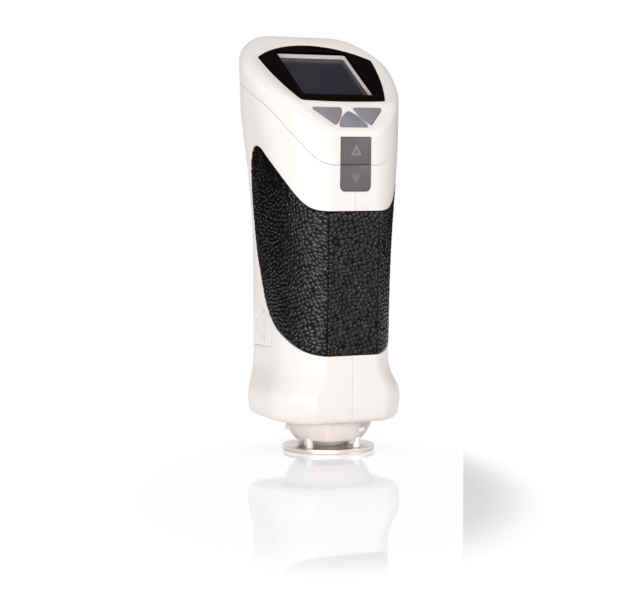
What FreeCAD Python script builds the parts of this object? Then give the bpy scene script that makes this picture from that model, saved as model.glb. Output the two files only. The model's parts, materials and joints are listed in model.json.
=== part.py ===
import FreeCAD, Part
import math
import os
import Sketcher
from FreeCAD import Placement, Rotation, Vector

# Upright colour measuring instrument. The origin is the centre of the measuring aperture on the
# underside of the locating plate, +Z goes up and the keys face -Y. All lengths are millimetres.

os.makedirs("parts", exist_ok=True)
doc = FreeCAD.newDocument("colorimeter")

# Driving sizes

SIZES = [
    ("overall_height", 205.0),
    ("foot_level", 16.0),
    ("head_half_width", 36.0),
    ("front_reach", 29.8),
    ("back_reach", 43.0),
    ("back_radius", 75.0),
    ("flat_inset_share", 0.55),
    ("corner_radius", 16.0),
    ("housing_wall", 2.4),
    ("foot_rounding", 3.8),
    ("foot_tilt", 2.6),
    ("foot_pivot", 12.0),
    ("rim_rounding", 5.0),
    ("seam_gap", 0.2),
    ("fit_gap", 0.15),
    ("seat_gap", 0.3),
    ("seam_rise", 50.0),
    ("overrun", 20.0),
    # sloping head
    ("slope_front", 17.4),
    ("slope_drop", 34.25),
    ("slope_angle", 34.75),
    ("facet_angle", 50.4),
    ("facet_length", 16.9),
    ("crown_radius", 12.0),
    # display
    ("window_length", 51.6),
    ("window_start", 1.0),
    ("window_foot_bow", 0.9),
    ("window_side_bow", 1.5),
    ("window_foot_half", 22.6),
    ("window_head_half", 31.2),
    ("window_shoulder", 39.0),
    ("window_corner", 2.4),
    ("window_thickness", 1.2),
    ("mask_thickness", 0.4),
    ("screen_half_width", 19.5),
    ("screen_start", 6.3),
    ("screen_length", 39.2),
    ("screen_corner", 1.2),
    ("frame_wall", 1.5),
    ("frame_corner", 3.0),
    ("frame_depth", 2.2),
    ("panel_thickness", 1.6),
    ("board_thickness", 1.6),
    # keys
    ("key_proud", 0.35),
    ("key_flange", 0.8),
    ("key_flange_thickness", 0.8),
    ("key_travel", 0.8),
    ("key_gap", 0.25),
    ("corner_key_top", 3.9),
    ("corner_key_outer", 19.4),
    ("corner_key_inner", 3.1),
    ("corner_key_tip", 9.7),
    ("corner_key_bottom", 14.8),
    ("middle_key_top", 6.2),
    ("middle_key_half", 7.7),
    ("middle_key_bottom", 16.1),
    ("key_side_bulge", 1.1),
    ("key_side_hollow", 1.1),
    ("key_corner", 0.8),
    ("arrow_key_half", 8.05),
    ("arrow_key_top_drop", 51.6),
    ("arrow_key_split_drop", 64.6),
    ("arrow_key_bottom_drop", 77.2),
    ("arrow_key_corner", 2.6),
    ("arrow_flange_depth", 3.65),
    ("mat_half_width", 24.0),
    ("mat_thickness", 1.0),
    ("dome_height", 1.0),
    ("dome_radius", 2.2),
    # leather grip
    ("leather_thickness", 0.9),
    ("leather_sunk", 0.1),
    ("grip_edge_gap", 0.15),
    # measuring button
    ("button_radius", 15.0),
    ("button_proud", 0.7),
    ("button_thickness", 3.4),
    ("button_gap", 0.4),
    ("button_skin", 0.8),
    # locating plate and measuring head
    ("plate_radius", 22.7),
    ("plate_thickness", 2.4),
    ("aperture_radius", 5.5),
    ("post_circle", 16.3),
    ("post_radius", 1.65),
    ("post_height", 2.6),
    ("post_pin_radius", 1.1),
    ("plate_screw_radius", 0.6),
    ("plate_screw_head", 1.2),
    ("plate_screw_head_height", 0.6),
    ("post_pin_length", 4.0),
    ("sphere_inner_radius", 18.5),
    ("sphere_wall", 4.1),
    ("sphere_level", 21.3),
    ("sphere_flange_radius", 26.5),
    ("sphere_flange_thickness", 2.6),
    ("flange_screw_circle", 24.7),
    ("neck_radius", 7.0),
    ("neck_top_radius", 12.0),
    ("crease_radius", 16.4),
    ("port_radius", 6.2),
    ("port_bore", 4.0),
    ("port_height", 2.9),
    ("glass_level", 3.4),
    ("glass_radius", 5.2),
    ("glass_thickness", 1.2),
    ("cap_pin_radius", 1.1),
    ("cap_pin_length", 2.0),
    ("cap_pin_level", 11.8),
    # sensor stack
    ("tube_radius", 7.0),
    ("tube_bore", 4.5),
    ("tube_length", 17.0),
    ("tube_level", 39.2),
    ("lens_thickness", 2.2),
    ("lamp_circle", 13.0),
    ("lamp_radius", 1.5),
    ("lamp_port_radius", 2.0),
    ("lamp_length", 4.2),
    ("lamp_board_radius", 18.0),
    ("sensor_board_half", 14.0),
    ("detector_radius", 3.2),
    ("detector_height", 3.0),
    # chassis, boards and battery
    ("chassis_front", 14.0),
    ("chassis_thickness", 2.5),
    ("chassis_bottom", 59.2),
    ("shelf_thickness", 1.4),
    ("chassis_top_drop", 55.0),
    ("standoff_height", 2.9),
    ("standoff_radius", 3.0),
    ("main_board_half", 23.5),
    ("main_board_bottom", 69.0),
    ("main_board_top_drop", 59.0),
    ("battery_half_width", 18.0),
    ("battery_thickness", 11.5),
    ("battery_height", 42.0),
    ("battery_level", 60.9),
    ("contact_width", 5.0),
    ("contact_height", 1.2),
    ("processor_side", 12.0),
    ("connector_height", 4.5),
    ("buzzer_radius", 5.0),
    ("buzzer_height", 4.0),
    ("measure_switch_side", 6.0),
    ("measure_switch_height", 4.0),
    ("measure_switch_inset", 8.35),
    ("screw_radius", 1.1),
    ("screw_head_radius", 2.1),
    ("screw_head_height", 1.4),
    # screw bosses
    ("boss_radius", 3.2),
    ("boss_head_depth", 6.0),
    ("boss_screw_length", 8.0),
    ("cover_post_inset", 5.0),
    ("cover_post_back", 24.0),
    ("cover_post_drop", 27.0),
    ("cover_post_length", 30.0),
    ("cover_screw_drop", 35.0),
    ("cover_screw_length", 18.0),
    # battery cover
    ("cover_bottom", 51.6),
    ("cover_top", 105.0),
    ("cover_front", 3.3),
    ("cover_gap", 0.5),
    ("thumb_floor_inset", 7.7),
    ("cover_fit", 0.2),
    ("thumb_tip_inset", 6.2),
    ("thumb_base", 10.6),
    ("thumb_tip", 22.0),
    ("thumb_low", 54.0),
    ("thumb_high", 70.7),
    # right side fittings
    ("switch_place", 13.0),
    ("switch_drop", 45.0),
    ("switch_slot_length", 11.0),
    ("switch_slot_width", 4.4),
    ("switch_travel", 3.0),
    ("switch_knob_length", 7.0),
    ("switch_wall_inset", 3.2),
    ("switch_body_depth", 6.0),
    ("switch_body_width", 8.8),
    ("switch_body_length", 16.5),
    ("switch_proud", 2.1),
    ("port_level", 29.0),
    ("usb_width", 8.0),
    ("usb_height", 3.4),
    ("usb_depth", 9.2),
    ("usb_shell", 0.4),
    ("port_board_inset", 12.6),
    ("usb_place", -6.0),
    ("jack_radius", 3.4),
    ("jack_bore", 2.5),
    ("jack_pin", 0.9),
    ("jack_place", 7.0),
    ("jack_pin_length", 8.3),
    ("jack_floor", 2.3),
    ("usb_floor", 3.0),
]

sheet = doc.addObject("Spreadsheet::Sheet", "Dims")
for row, (alias, amount) in enumerate(SIZES, start=1):
    sheet.set("A%d" % row, alias)
    sheet.set("B%d" % row, str(amount))
    sheet.setAlias("B%d" % row, alias)
doc.recompute()


def size(alias):
    """The number in the sheet under this alias."""
    return float(sheet.get(alias))


def below_top(alias):
    """The level that lies this far below the top of the crown."""
    return size("overall_height") - size(alias)


def inside_head(alias):
    """The place along X that lies this far inside the widest part of the head."""
    return size("head_half_width") - size(alias)


slope_level = below_top("slope_drop")
arrow_key_top = below_top("arrow_key_top_drop")
arrow_key_split = below_top("arrow_key_split_drop")
arrow_key_bottom = below_top("arrow_key_bottom_drop")

# Outer form of the housing: plan sections, each a share of the driving sizes at a share of the
# height between the foot and the crown. Every row holds the shares of level, half width, front
# reach, back reach, flat front, widest place and corner radius.

STATION_SHARES = [
    (-0.008, 0.946, 0.872, 0.811, 0.513, -0.08, 1.06),
    (0.042, 0.972, 0.884, 0.816, 0.525, -0.08, 1.06),
    (0.078, 0.955, 0.880, 0.818, 0.510, -0.08, 1.04),
    (0.106, 0.894, 0.872, 0.838, 0.445, -0.04, 0.98),
    (0.138, 0.840, 0.866, 0.858, 0.390, 0.00, 0.92),
    (0.233, 0.828, 0.872, 0.852, 0.378, 0.00, 0.88),
    (0.392, 0.846, 0.913, 0.830, 0.373, 0.00, 0.88),
    (0.550, 0.896, 0.953, 0.806, 0.367, 0.00, 0.88),
    (0.614, 0.926, 0.970, 0.824, 0.345, 0.00, 0.90),
    (0.683, 0.962, 0.980, 0.866, 0.320, 0.020, 1.02),
    (0.736, 0.995, 0.988, 0.930, 0.300, 0.080, 1.24),
    (0.788, 1.030, 0.993, 0.985, 0.290, 0.160, 1.48),
    (0.841, 1.070, 0.998, 0.995, 0.285, 0.240, 1.72),
    (0.894, 1.110, 1.000, 0.985, 0.280, 0.280, 1.90),
    (0.947, 1.125, 1.000, 0.975, 0.280, 0.260, 1.95),
    (1.000, 1.120, 1.000, 0.960, 0.280, 0.250, 1.95),
    (1.053, 1.110, 1.000, 0.945, 0.280, 0.235, 1.95),
]


def section(shares, inset):
    """One closed plan section of the form, moved inwards by inset."""
    level, half, front, back, flat, widest, corner = shares
    rise = size("overall_height") - size("foot_level")
    height = size("foot_level") + level * rise
    half = half * size("head_half_width") - inset
    front = front * size("front_reach") - inset
    back = back * size("back_reach") - inset
    flat = flat * size("head_half_width") - inset * size("flat_inset_share")
    widest = widest * size("head_half_width")
    corner = corner * size("corner_radius") - inset
    sweep = size("back_radius") - inset
    # side arc from the flat front to the widest place, tangent to the straight side
    radius = ((half - flat) ** 2 + (front + widest) ** 2) / (2 * (half - flat))
    start = math.atan2(-front - widest, flat - (half - radius))
    side_mid = Vector(
        half - radius + radius * math.cos(start / 2),
        widest + radius * math.sin(start / 2),
        height,
    )
    # corner arc tangent to the side and to the shallow back arc
    corner_x = half - corner
    corner_y = back - sweep + math.sqrt((sweep - corner) ** 2 - corner_x**2)
    turn = math.atan2(corner_y - (back - sweep), corner_x)
    corner_end = Vector(corner_x + corner * math.cos(turn), corner_y + corner * math.sin(turn), height)
    corner_mid = Vector(
        corner_x + corner * math.cos(turn / 2), corner_y + corner * math.sin(turn / 2), height
    )
    back_mid = Vector(0, back, height)
    front_right = Vector(flat, -front, height)
    side_front = Vector(half, widest, height)
    side_back = Vector(half, corner_y, height)

    def mirrored(point):
        return Vector(-point.x, point.y, point.z)

    edges = [
        Part.LineSegment(mirrored(front_right), front_right).toShape(),
        Part.Arc(front_right, side_mid, side_front).toShape(),
        Part.LineSegment(side_front, side_back).toShape(),
        Part.Arc(side_back, corner_mid, corner_end).toShape(),
        Part.Arc(corner_end, back_mid, mirrored(corner_end)).toShape(),
        Part.Arc(mirrored(corner_end), mirrored(corner_mid), mirrored(side_back)).toShape(),
        Part.LineSegment(mirrored(side_back), mirrored(side_front)).toShape(),
        Part.Arc(mirrored(side_front), mirrored(side_mid), mirrored(front_right)).toShape(),
    ]
    return Part.Wire(edges)


def form(inset):
    """The whole outer form without its sloping cut, moved inwards by inset."""
    return Part.makeLoft([section(row, inset) for row in STATION_SHARES], True, False, False, 3)


def prism_x(points, half):
    """A prism along X over a closed outline in the YZ plane, reaching half each way."""
    wire = Part.makePolygon([Vector(-half, y, z) for y, z in points + points[:1]])
    return Part.Face(wire).extrude(Vector(2 * half, 0, 0))


def slope_point(along, above=0.0):
    """A point (Y, Z) on the display slope, by its distance up the slope and off it."""
    angle = math.radians(size("slope_angle"))
    return (
        -size("slope_front") + along * math.cos(angle) - above * math.sin(angle),
        slope_level + along * math.sin(angle) + above * math.cos(angle),
    )


def facet_point(down, above=0.0):
    """A point (Y, Z) on the key facet, by its distance down the facet and off it."""
    angle = math.radians(size("facet_angle"))
    return (
        -size("slope_front") - down * math.cos(angle) - above * math.sin(angle),
        slope_level - down * math.sin(angle) + above * math.cos(angle),
    )


def crown(inset):
    """The solid under the display slope, the key facet and the rounded crown."""
    slope = math.radians(size("slope_angle"))
    facet = math.radians(size("facet_angle"))
    reach = size("overrun") + size("back_reach")
    # the underside rises towards the back and is moved inwards as well
    tilt = math.tan(math.radians(size("foot_tilt")))
    foot = size("foot_level") + inset + size("foot_pivot") * tilt
    # where the inset slope and the inset facet meet
    bend = inset * math.tan((facet - slope) / 2)
    ridge = slope_point(bend, -inset)
    brow = facet_point(size("facet_length") + size("overrun"), -inset)
    radius = size("crown_radius") - inset
    # crown arc: tangent to the slope, its top at the overall height
    top = size("overall_height") - inset
    rise = (top - radius - ridge[1]) / math.sin(slope) * math.cos(slope)
    centre_y = ridge[0] + rise + radius / math.sin(slope)
    centre_z = top - radius
    start = Vector(0, centre_y - radius * math.sin(slope), centre_z + radius * math.cos(slope))
    middle = Vector(0, centre_y + radius * math.sin(slope), centre_z + radius * math.cos(slope))
    finish = Vector(0, centre_y + radius, centre_z)
    back = Vector(0, centre_y + radius, foot + (centre_y + radius) * tilt)
    front = Vector(0, -reach, foot - reach * tilt)
    brow_point = Vector(0, brow[0], brow[1])
    edge_point = Vector(0, -reach, brow[1])
    ridge_point = Vector(0, ridge[0], ridge[1])
    edges = [
        Part.LineSegment(front, edge_point).toShape(),
        Part.LineSegment(edge_point, brow_point).toShape(),
        Part.LineSegment(brow_point, ridge_point).toShape(),
        Part.LineSegment(ridge_point, start).toShape(),
        Part.Arc(start, middle, finish).toShape(),
        Part.LineSegment(finish, back).toShape(),
        Part.LineSegment(back, front).toShape(),
    ]
    face = Part.Face(Part.Wire(edges))
    half = size("head_half_width") + size("overrun")
    face.translate(Vector(-half, 0, 0))
    return face.extrude(Vector(2 * half, 0, 0))


# Seam between the display cover and the two halves, from ahead of the front face to behind the
# back wall: shares of the whole depth and of the rise of the seam above the key split.

SEAM_SHARES = [
    (-0.080, 0.000),
    (0.015, 0.000),
    (0.052, 0.055),
    (0.089, 0.142),
    (0.135, 0.240),
    (0.190, 0.342),
    (0.310, 0.522),
    (0.511, 0.692),
    (0.783, 0.862),
    (1.000, 0.975),
    (1.080, 1.010),
]

# Edge of the leather grip, from its lower front edge round its back to its upper front edge, then
# the measuring button and the screw bosses: shares of the whole depth and of the height between
# the foot and the lowest key.

GRIP_SHARES = [
    (-0.080, 0.287),
    (0.018, 0.287),
    (0.107, 0.298),
    (0.183, 0.321),
    (0.265, 0.355),
    (0.361, 0.396),
    (0.451, 0.443),
    (0.527, 0.509),
    (0.585, 0.604),
    (0.633, 0.707),
    (0.659, 0.813),
    (0.665, 0.930),
    (0.654, 1.046),
    (0.625, 1.136),
    (0.560, 1.192),
    (0.480, 1.192),
    (0.400, 1.160),
    (0.331, 1.121),
    (0.258, 1.072),
    (0.190, 1.014),
    (0.125, 0.955),
    (0.070, 0.923),
    (0.018, 0.915),
    (-0.080, 0.915),
]
BUTTON_SHARES = (0.4025, 0.9034)
BOSS_SHARES = [(0.162, 0.510), (0.162, 0.841), (0.787, 0.841), (0.787, 1.109)]


def side_curve(points):
    """A smooth curve through points in the YZ plane."""
    curve = Part.BSplineCurve()
    curve.interpolate(Points=points)
    return curve.toShape()


def moved_out(points, grow):
    """Points of an anticlockwise outline in the YZ plane, each moved outwards by grow."""
    moved = []
    for number, point in enumerate(points):
        before = points[max(number - 1, 0)]
        after = points[min(number + 1, len(points) - 1)]
        along = (after - before).normalize()
        moved.append(point + Vector(0, along.z, -along.y) * grow)
    return moved


def depth_at(share):
    """The place across the whole depth that a share names, from the front."""
    return share * (size("front_reach") + size("back_reach")) - size("front_reach")


def across(face, half=None):
    """A YZ face made a solid that reaches half to each side."""
    half = size("head_half_width") + size("overrun") if half is None else half
    face = face.copy()
    face.translate(Vector(-half, 0, 0))
    return face.extrude(Vector(2 * half, 0, 0))


def above_seam(lift):
    """Everything above the seam line, moved up by lift."""
    points = [
        Vector(0, depth_at(deep), arrow_key_split + high * size("seam_rise") + lift)
        for deep, high in SEAM_SHARES
    ]
    reach = size("back_reach") + size("overrun")
    top = size("overall_height") + size("overrun")
    curve = side_curve(points)
    start = Vector(0, -reach, points[0].z)
    end = Vector(0, reach, points[-1].z)
    corners = [points[-1], end, Vector(0, reach, top), Vector(0, -reach, top), start, points[0]]
    sides = [Part.LineSegment(a, b).toShape() for a, b in zip(corners, corners[1:])]
    return across(Part.Face(Part.Wire([curve] + sides)))


def height_at(share):
    """The level between the foot and the lowest key that a share names."""
    return size("foot_level") + share * (arrow_key_bottom - size("foot_level"))


def grip_face(grow):
    """The side outline of the leather grip, open past the front, made larger by grow."""
    points = [Vector(0, depth_at(deep), height_at(high)) for deep, high in GRIP_SHARES]
    points = moved_out(points, grow)
    reach = size("back_reach") + size("overrun")
    curve = side_curve(points)
    corners = [
        points[-1],
        Vector(0, -reach, points[-1].z),
        Vector(0, -reach, points[0].z),
        points[0],
    ]
    sides = [Part.LineSegment(a, b).toShape() for a, b in zip(corners, corners[1:])]
    return Part.Face(Part.Wire([curve] + sides))


def cover_face(grow):
    """The side outline of the battery cover, behind the grip, made larger by grow."""
    low = size("cover_bottom") - grow
    high = size("cover_top") + grow
    front = size("cover_front") - grow
    back = size("back_reach") + size("overrun")
    corners = [Vector(0, front, low), Vector(0, back, low), Vector(0, back, high), Vector(0, front, high)]
    face = Part.Face(Part.makePolygon(corners + corners[:1]))
    return face.cut(grip_face(size("cover_gap") - grow))


def at_slope():
    """The frame of the display slope: X across, Y up the slope, Z off it."""
    return Placement(
        Vector(0, -size("slope_front"), slope_level),
        Rotation(Vector(1, 0, 0), size("slope_angle")),
    )


def at_facet():
    """The frame of the key facet: X across, Y up the facet, Z off it."""
    return Placement(
        Vector(0, -size("slope_front"), slope_level),
        Rotation(Vector(1, 0, 0), size("facet_angle")),
    )


def rounded(edges, radius, grow):
    """A flat face over closed edges, its corners rounded and its outline moved out by grow."""
    face = Part.Face(Part.Wire(edges))
    core = face.makeOffset2D(-radius)
    return core.makeOffset2D(radius + grow)


def slab(face, low, high, place=None):
    """A flat face in the XY plane made a solid from low to high, then placed."""
    solid = face.copy()
    solid.translate(Vector(0, 0, low))
    solid = solid.extrude(Vector(0, 0, high - low))
    if place is not None:
        solid.Placement = place.multiply(solid.Placement)
    return solid


def rectangle(left, right, low, high):
    """Four edges of a rectangle in the XY plane."""
    corners = [Vector(left, low, 0), Vector(right, low, 0), Vector(right, high, 0), Vector(left, high, 0)]
    return [Part.LineSegment(a, b).toShape() for a, b in zip(corners, corners[1:] + corners[:1])]


def block(left, right, front, back, low, high):
    """A box by its limits along X, Y and Z."""
    return Part.makeBox(right - left, back - front, high - low, Vector(left, front, low))


def bowed(start, end, bulge):
    """An arc from start to end whose middle lies bulge to the right of the way along it."""
    middle = (start + end) * 0.5
    along = (end - start).normalize()
    right = Vector(along.y, -along.x, 0)
    return Part.Arc(start, middle + right * bulge, end).toShape()


def window_face(grow):
    """The outline of the display window on the slope."""
    foot = size("window_foot_half")
    head = size("window_head_half")
    low_left = Vector(-foot, size("window_start"), 0)
    low_right = Vector(foot, size("window_start"), 0)
    high_right = Vector(head, size("window_shoulder"), 0)
    high_left = Vector(-head, size("window_shoulder"), 0)
    peak = Vector(0, size("window_length"), 0)
    edges = [
        bowed(low_left, low_right, size("window_foot_bow")),
        bowed(low_right, high_right, size("window_side_bow")),
        Part.Arc(high_right, peak, high_left).toShape(),
        bowed(high_left, low_left, size("window_side_bow")),
    ]
    return rounded(edges, size("window_corner"), grow)


def corner_key_face(side, grow):
    """The outline of a corner key on the facet; side is -1 for the left key, 1 for the right."""
    outer = Vector(side * size("corner_key_outer"), -size("corner_key_top"), 0)
    inner = Vector(side * size("corner_key_inner"), -size("corner_key_top"), 0)
    tip = Vector(side * size("corner_key_tip"), -size("corner_key_bottom"), 0)
    edges = [
        Part.LineSegment(outer, inner).toShape(),
        bowed(inner, tip, -side * -size("key_side_hollow")),
        Part.LineSegment(tip, outer).toShape(),
    ]
    return rounded(edges, size("key_corner"), grow)


def middle_key_face(grow):
    """The outline of the arched middle key on the facet."""
    peak = Vector(0, -size("middle_key_top"), 0)
    right = Vector(size("middle_key_half"), -size("middle_key_bottom"), 0)
    left = Vector(-size("middle_key_half"), -size("middle_key_bottom"), 0)
    edges = [
        bowed(peak, right, -size("key_side_bulge")),
        Part.LineSegment(right, left).toShape(),
        bowed(left, peak, -size("key_side_bulge")),
    ]
    return rounded(edges, size("key_corner"), grow)


def add_shape(label, shape):
    """A sub-part whose shape is worked out here."""
    part = doc.addObject("Part::Feature", label)
    part.Shape = shape
    return listed(part)


def listed(part):
    """List a document object as a sub-part under its own name."""
    part.Label = part.Name
    NODES.append(part)
    return part


def bind(part, **expressions):
    """Bind properties of a document object to cells of the sheet."""
    for name, expression in expressions.items():
        part.setExpression(name.replace("__", "."), expression)
    return part


def origin_plane(body, role):
    """The plane of a body's own origin that has this role."""
    for feature in body.Origin.OriginFeatures:
        if feature.Role == role:
            return feature
    raise ValueError(role)


def ring_body(label, outer, bore, bottom, height):
    """A round plate or tube on the Z axis: each argument is an expression on the sheet."""
    body = doc.addObject("PartDesign::Body", label)
    sketch = body.newObject("Sketcher::SketchObject", label + "_sketch")
    sketch.AttachmentSupport = (origin_plane(body, "XY_Plane"), [""])
    sketch.MapMode = "FlatFace"
    radii = [outer, bore] if bore else [outer]
    for number, radius in enumerate(radii):
        draft = size("port_radius") / (number + 1)
        sketch.addGeometry(Part.Circle(Vector(), Vector(0, 0, 1), draft), False)
        sketch.addConstraint(Sketcher.Constraint("Coincident", number, 3, -1, 1))
        place = sketch.addConstraint(Sketcher.Constraint("Radius", number, draft))
        sketch.setExpression("Constraints[%d]" % place, radius)
    sketch.setExpression("AttachmentOffset.Base.z", bottom)
    pad = body.newObject("PartDesign::Pad", label + "_pad")
    pad.Profile = sketch
    pad.setExpression("Length", height)
    return listed(body)


def box_part(label, width, depth, height, left, front, bottom):
    """A plain box: each argument is an expression on the sheet."""
    part = doc.addObject("Part::Box", label)
    bind(part, Length=width, Width=depth, Height=height)
    bind(part, Placement__Base__x=left, Placement__Base__y=front, Placement__Base__z=bottom)
    return part


NODES = []

# Outer shell

outer = form(0).common(crown(0))


def rim_edges(solid):
    """The edges round the sloping top and the two soft creases beside the front flat."""
    tall = size("overall_height") / 2
    brow = slope_level - size("facet_length") * math.sin(math.radians(size("facet_angle")))
    found = []
    for edge in solid.Edges:
        box = edge.BoundBox
        middle = edge.valueAt((edge.FirstParameter + edge.LastParameter) / 2)
        is_long = box.ZLength > tall
        is_crease = is_long and abs(middle.x) < size("head_half_width") / 2 and middle.y < 0
        is_rim = box.ZMin > brow - size("rim_rounding") and not is_long
        is_cross = box.YLength < size("seam_gap") and middle.y > -size("slope_front") - size("seam_gap")
        if is_crease or (is_rim and not is_cross):
            found.append(edge)
    return found


def foot_edges(solid):
    """The edges round the flat underside."""
    return [e for e in solid.Edges if e.BoundBox.ZMax < size("foot_level") + size("foot_rounding")]


outer = outer.makeFillet(size("rim_rounding"), rim_edges(outer))
outer = outer.makeFillet(size("foot_rounding"), foot_edges(outer))
hollow = form(size("housing_wall")).common(crown(size("housing_wall")))
cavity_inset = size("housing_wall") + size("seat_gap")
cavity = form(cavity_inset).common(crown(cavity_inset))
shell = outer.cut(hollow)

wide = size("head_half_width") + size("overrun")
deep = size("back_reach") + size("overrun")
tall = size("overall_height") + size("overrun")

# Openings shared by the shells and the pieces that sit in them

skin = size("leather_sunk") + size("leather_thickness")
recess = outer.cut(form(skin + size("leather_sunk"))).common(across(grip_face(0)))
button_y = depth_at(BUTTON_SHARES[0])
button_level = height_at(BUTTON_SHARES[1])
button_centre = Vector(-wide, button_y, button_level)


def button_core(grow, reach):
    """A cylinder along X on the measuring button's axis, from far left to reach."""
    return Part.makeCylinder(
        size("button_radius") + grow, wide + reach, button_centre, Vector(1, 0, 0)
    )


def arrow_key_solid(low, high, grow, near, far):
    """A block for one arrow key between two Y places; the lowest key has round lower corners."""
    half = size("arrow_key_half") + grow
    solid = block(-half, half, near, far, low - grow, high + grow)
    if low > arrow_key_bottom:
        return solid
    runs_along_y = [edge for edge in solid.Edges if edge.BoundBox.YLength > half]
    corners = [edge for edge in runs_along_y if edge.BoundBox.ZMax < low + size("seam_gap")]
    return solid.makeFillet(size("arrow_key_corner"), corners)


front_far = -deep
front_near = -size("front_reach") / 2
up_hole = arrow_key_solid(
    arrow_key_split, arrow_key_top, size("key_gap"), front_far, front_near
)
down_hole = arrow_key_solid(
    arrow_key_bottom, arrow_key_split, size("key_gap"), front_far, front_near
)
bowl_radius = size("sphere_inner_radius") + size("sphere_wall")
bowl_hole = Part.makeCylinder(
    bowl_radius + size("seat_gap"),
    size("housing_wall") * 3,
    Vector(0, 0, size("foot_level") - size("housing_wall")),
)
switch_level = below_top("switch_drop")
switch_slot = block(
    size("head_half_width") / 2,
    wide,
    size("switch_place") - size("switch_slot_width") / 2,
    size("switch_place") + size("switch_slot_width") / 2,
    switch_level - size("switch_slot_length") / 2,
    switch_level + size("switch_slot_length") / 2,
)
usb_hole = block(
    size("head_half_width") / 2,
    wide,
    size("usb_place") - size("usb_width") / 2 - size("seat_gap"),
    size("usb_place") + size("usb_width") / 2 + size("seat_gap"),
    size("port_level") - size("usb_height") / 2 - size("seat_gap"),
    size("port_level") + size("usb_height") / 2 + size("seat_gap"),
)
jack_hole = Part.makeCylinder(
    size("jack_radius") + size("seat_gap"),
    wide,
    Vector(size("head_half_width") / 2, size("jack_place"), size("port_level")),
    Vector(1, 0, 0),
)

# Two halves of the lower housing

lower = shell.cut(above_seam(-size("seam_gap") / 2))
lower = lower.cut([recess, across(cover_face(size("cover_fit"))), bowl_hole, down_hole, up_hole])
lower = lower.cut([button_core(size("button_gap"), 0), switch_slot, usb_hole, jack_hole])
half_gap = size("fit_gap") / 2
bosses = [(depth_at(deep), height_at(high)) for deep, high in BOSS_SHARES]
post_x = inside_head("cover_post_inset")


def along_x(radius, start, end, place, level):
    """A cylinder along X between two X places."""
    return Part.makeCylinder(radius, end - start, Vector(start, place, level), Vector(1, 0, 0))


def half_housing(side):
    """One half of the lower housing with its screw bosses; side is -1 for left, 1 for right."""
    start = half_gap if side > 0 else -wide
    end = wide if side > 0 else -half_gap
    half = lower.common(block(start, end, -deep, deep, 0, tall))
    posts = [
        along_x(size("boss_radius"), start, end, place, level).common(hollow)
        for place, level in bosses
    ]
    half = half.fuse(posts)
    foot = Vector(side * post_x, size("cover_post_back"), below_top("cover_screw_drop"))
    seat = Part.makeCylinder(size("boss_radius"), size("cover_post_length"), foot)
    seat = seat.common(hollow).cut(above_seam(-size("seam_gap") / 2))
    half = half.fuse(seat)
    way = Part.makeCylinder(size("screw_radius") + size("fit_gap"), size("cover_post_length"), foot)
    half = half.cut(way)
    if side > 0:
        shank = size("screw_radius") + size("fit_gap")
        head = size("screw_head_radius") + size("fit_gap")
        cuts = [along_x(shank, 0, wide, place, level) for place, level in bosses]
        cuts += [
            along_x(head, size("boss_head_depth"), wide, place, level) for place, level in bosses
        ]
    else:
        reach = size("boss_screw_length")
        cuts = [
            along_x(size("screw_radius"), -reach, 0, place, level) for place, level in bosses
        ]
    return half.cut(cuts)


left_half = half_housing(-1)
right_half = half_housing(1)
add_shape("left_housing", left_half)
add_shape("right_housing", right_half)

# Display cover with its window pocket and key openings

window_depth = size("window_thickness") + size("mask_thickness")
frame_half = size("screen_half_width") + size("frame_wall")
frame_low = size("screen_start") - size("frame_wall")
frame_high = size("screen_start") + size("screen_length") + size("frame_wall")
gap = size("fit_gap")
pocket = slab(window_face(gap), -window_depth, size("overrun"), at_slope())
frame_outline = rectangle(-frame_half, frame_half, frame_low, frame_high)
frame_hole = slab(
    rounded(frame_outline, size("frame_corner"), gap),
    -size("frame_depth") - size("overrun"),
    0,
    at_slope(),
)
key_holes = [
    slab(face, -size("overrun") / 2, size("overrun"), at_facet())
    for face in (
        corner_key_face(-1, size("key_gap")),
        corner_key_face(1, size("key_gap")),
        middle_key_face(size("key_gap")),
    )
]
cover = shell.common(above_seam(size("seam_gap") / 2))
cover = cover.cut([pocket, frame_hole, up_hole, down_hole] + key_holes)
post_back = size("cover_post_back")
for side in (-1, 1):
    post_foot = Vector(side * post_x, post_back, below_top("cover_post_drop"))
    post = Part.makeCylinder(size("boss_radius"), size("cover_post_length"), post_foot)
    cover = cover.fuse(post.common(hollow).common(above_seam(size("seam_gap") / 2)))
    pilot_foot = post_foot - Vector(0, 0, size("overrun"))
    cover = cover.cut(Part.makeCylinder(size("screw_radius"), size("cover_post_length"), pilot_foot))
add_shape("top_cover", cover)

# Leather grip

leather = form(size("leather_sunk")).cut(form(skin)).common(across(grip_face(-size("grip_edge_gap"))))
leather = leather.cut(button_core(size("button_gap"), 0))
bare = outer.common(leather)
add_shape("leather_grip", bare)

# Battery cover with a thumb recess in each side

cover_wall = form(0).common(across(cover_face(0))).cut(form(size("housing_wall")))


def thumb_recess(side):
    """A recess with an arrow outline that gets shallower towards its tip at the back."""
    near = side * wide
    deepest = side * inside_head("thumb_floor_inset")
    low, high = size("thumb_low"), size("thumb_high")
    base = size("thumb_base")
    tip = Vector(side * inside_head("thumb_tip_inset"), size("thumb_tip"), (low + high) / 2)
    far_tip = Vector(near, size("thumb_tip"), (low + high) / 2)
    inner = [Vector(deepest, base, low), Vector(deepest, base, high), tip]
    outside = [Vector(near, base, low), Vector(near, base, high), far_tip]
    faces = [Part.Face(Part.makePolygon(inner + inner[:1]))]
    faces.append(Part.Face(Part.makePolygon(outside + outside[:1])))
    for first, second in ((0, 1), (1, 2), (2, 0)):
        ring = [inner[first], inner[second], outside[second], outside[first]]
        faces.append(Part.Face(Part.makePolygon(ring + ring[:1])))
    solid = Part.makeSolid(Part.makeShell(faces))
    if solid.Volume < 0:
        solid.reverse()
    return solid


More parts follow.
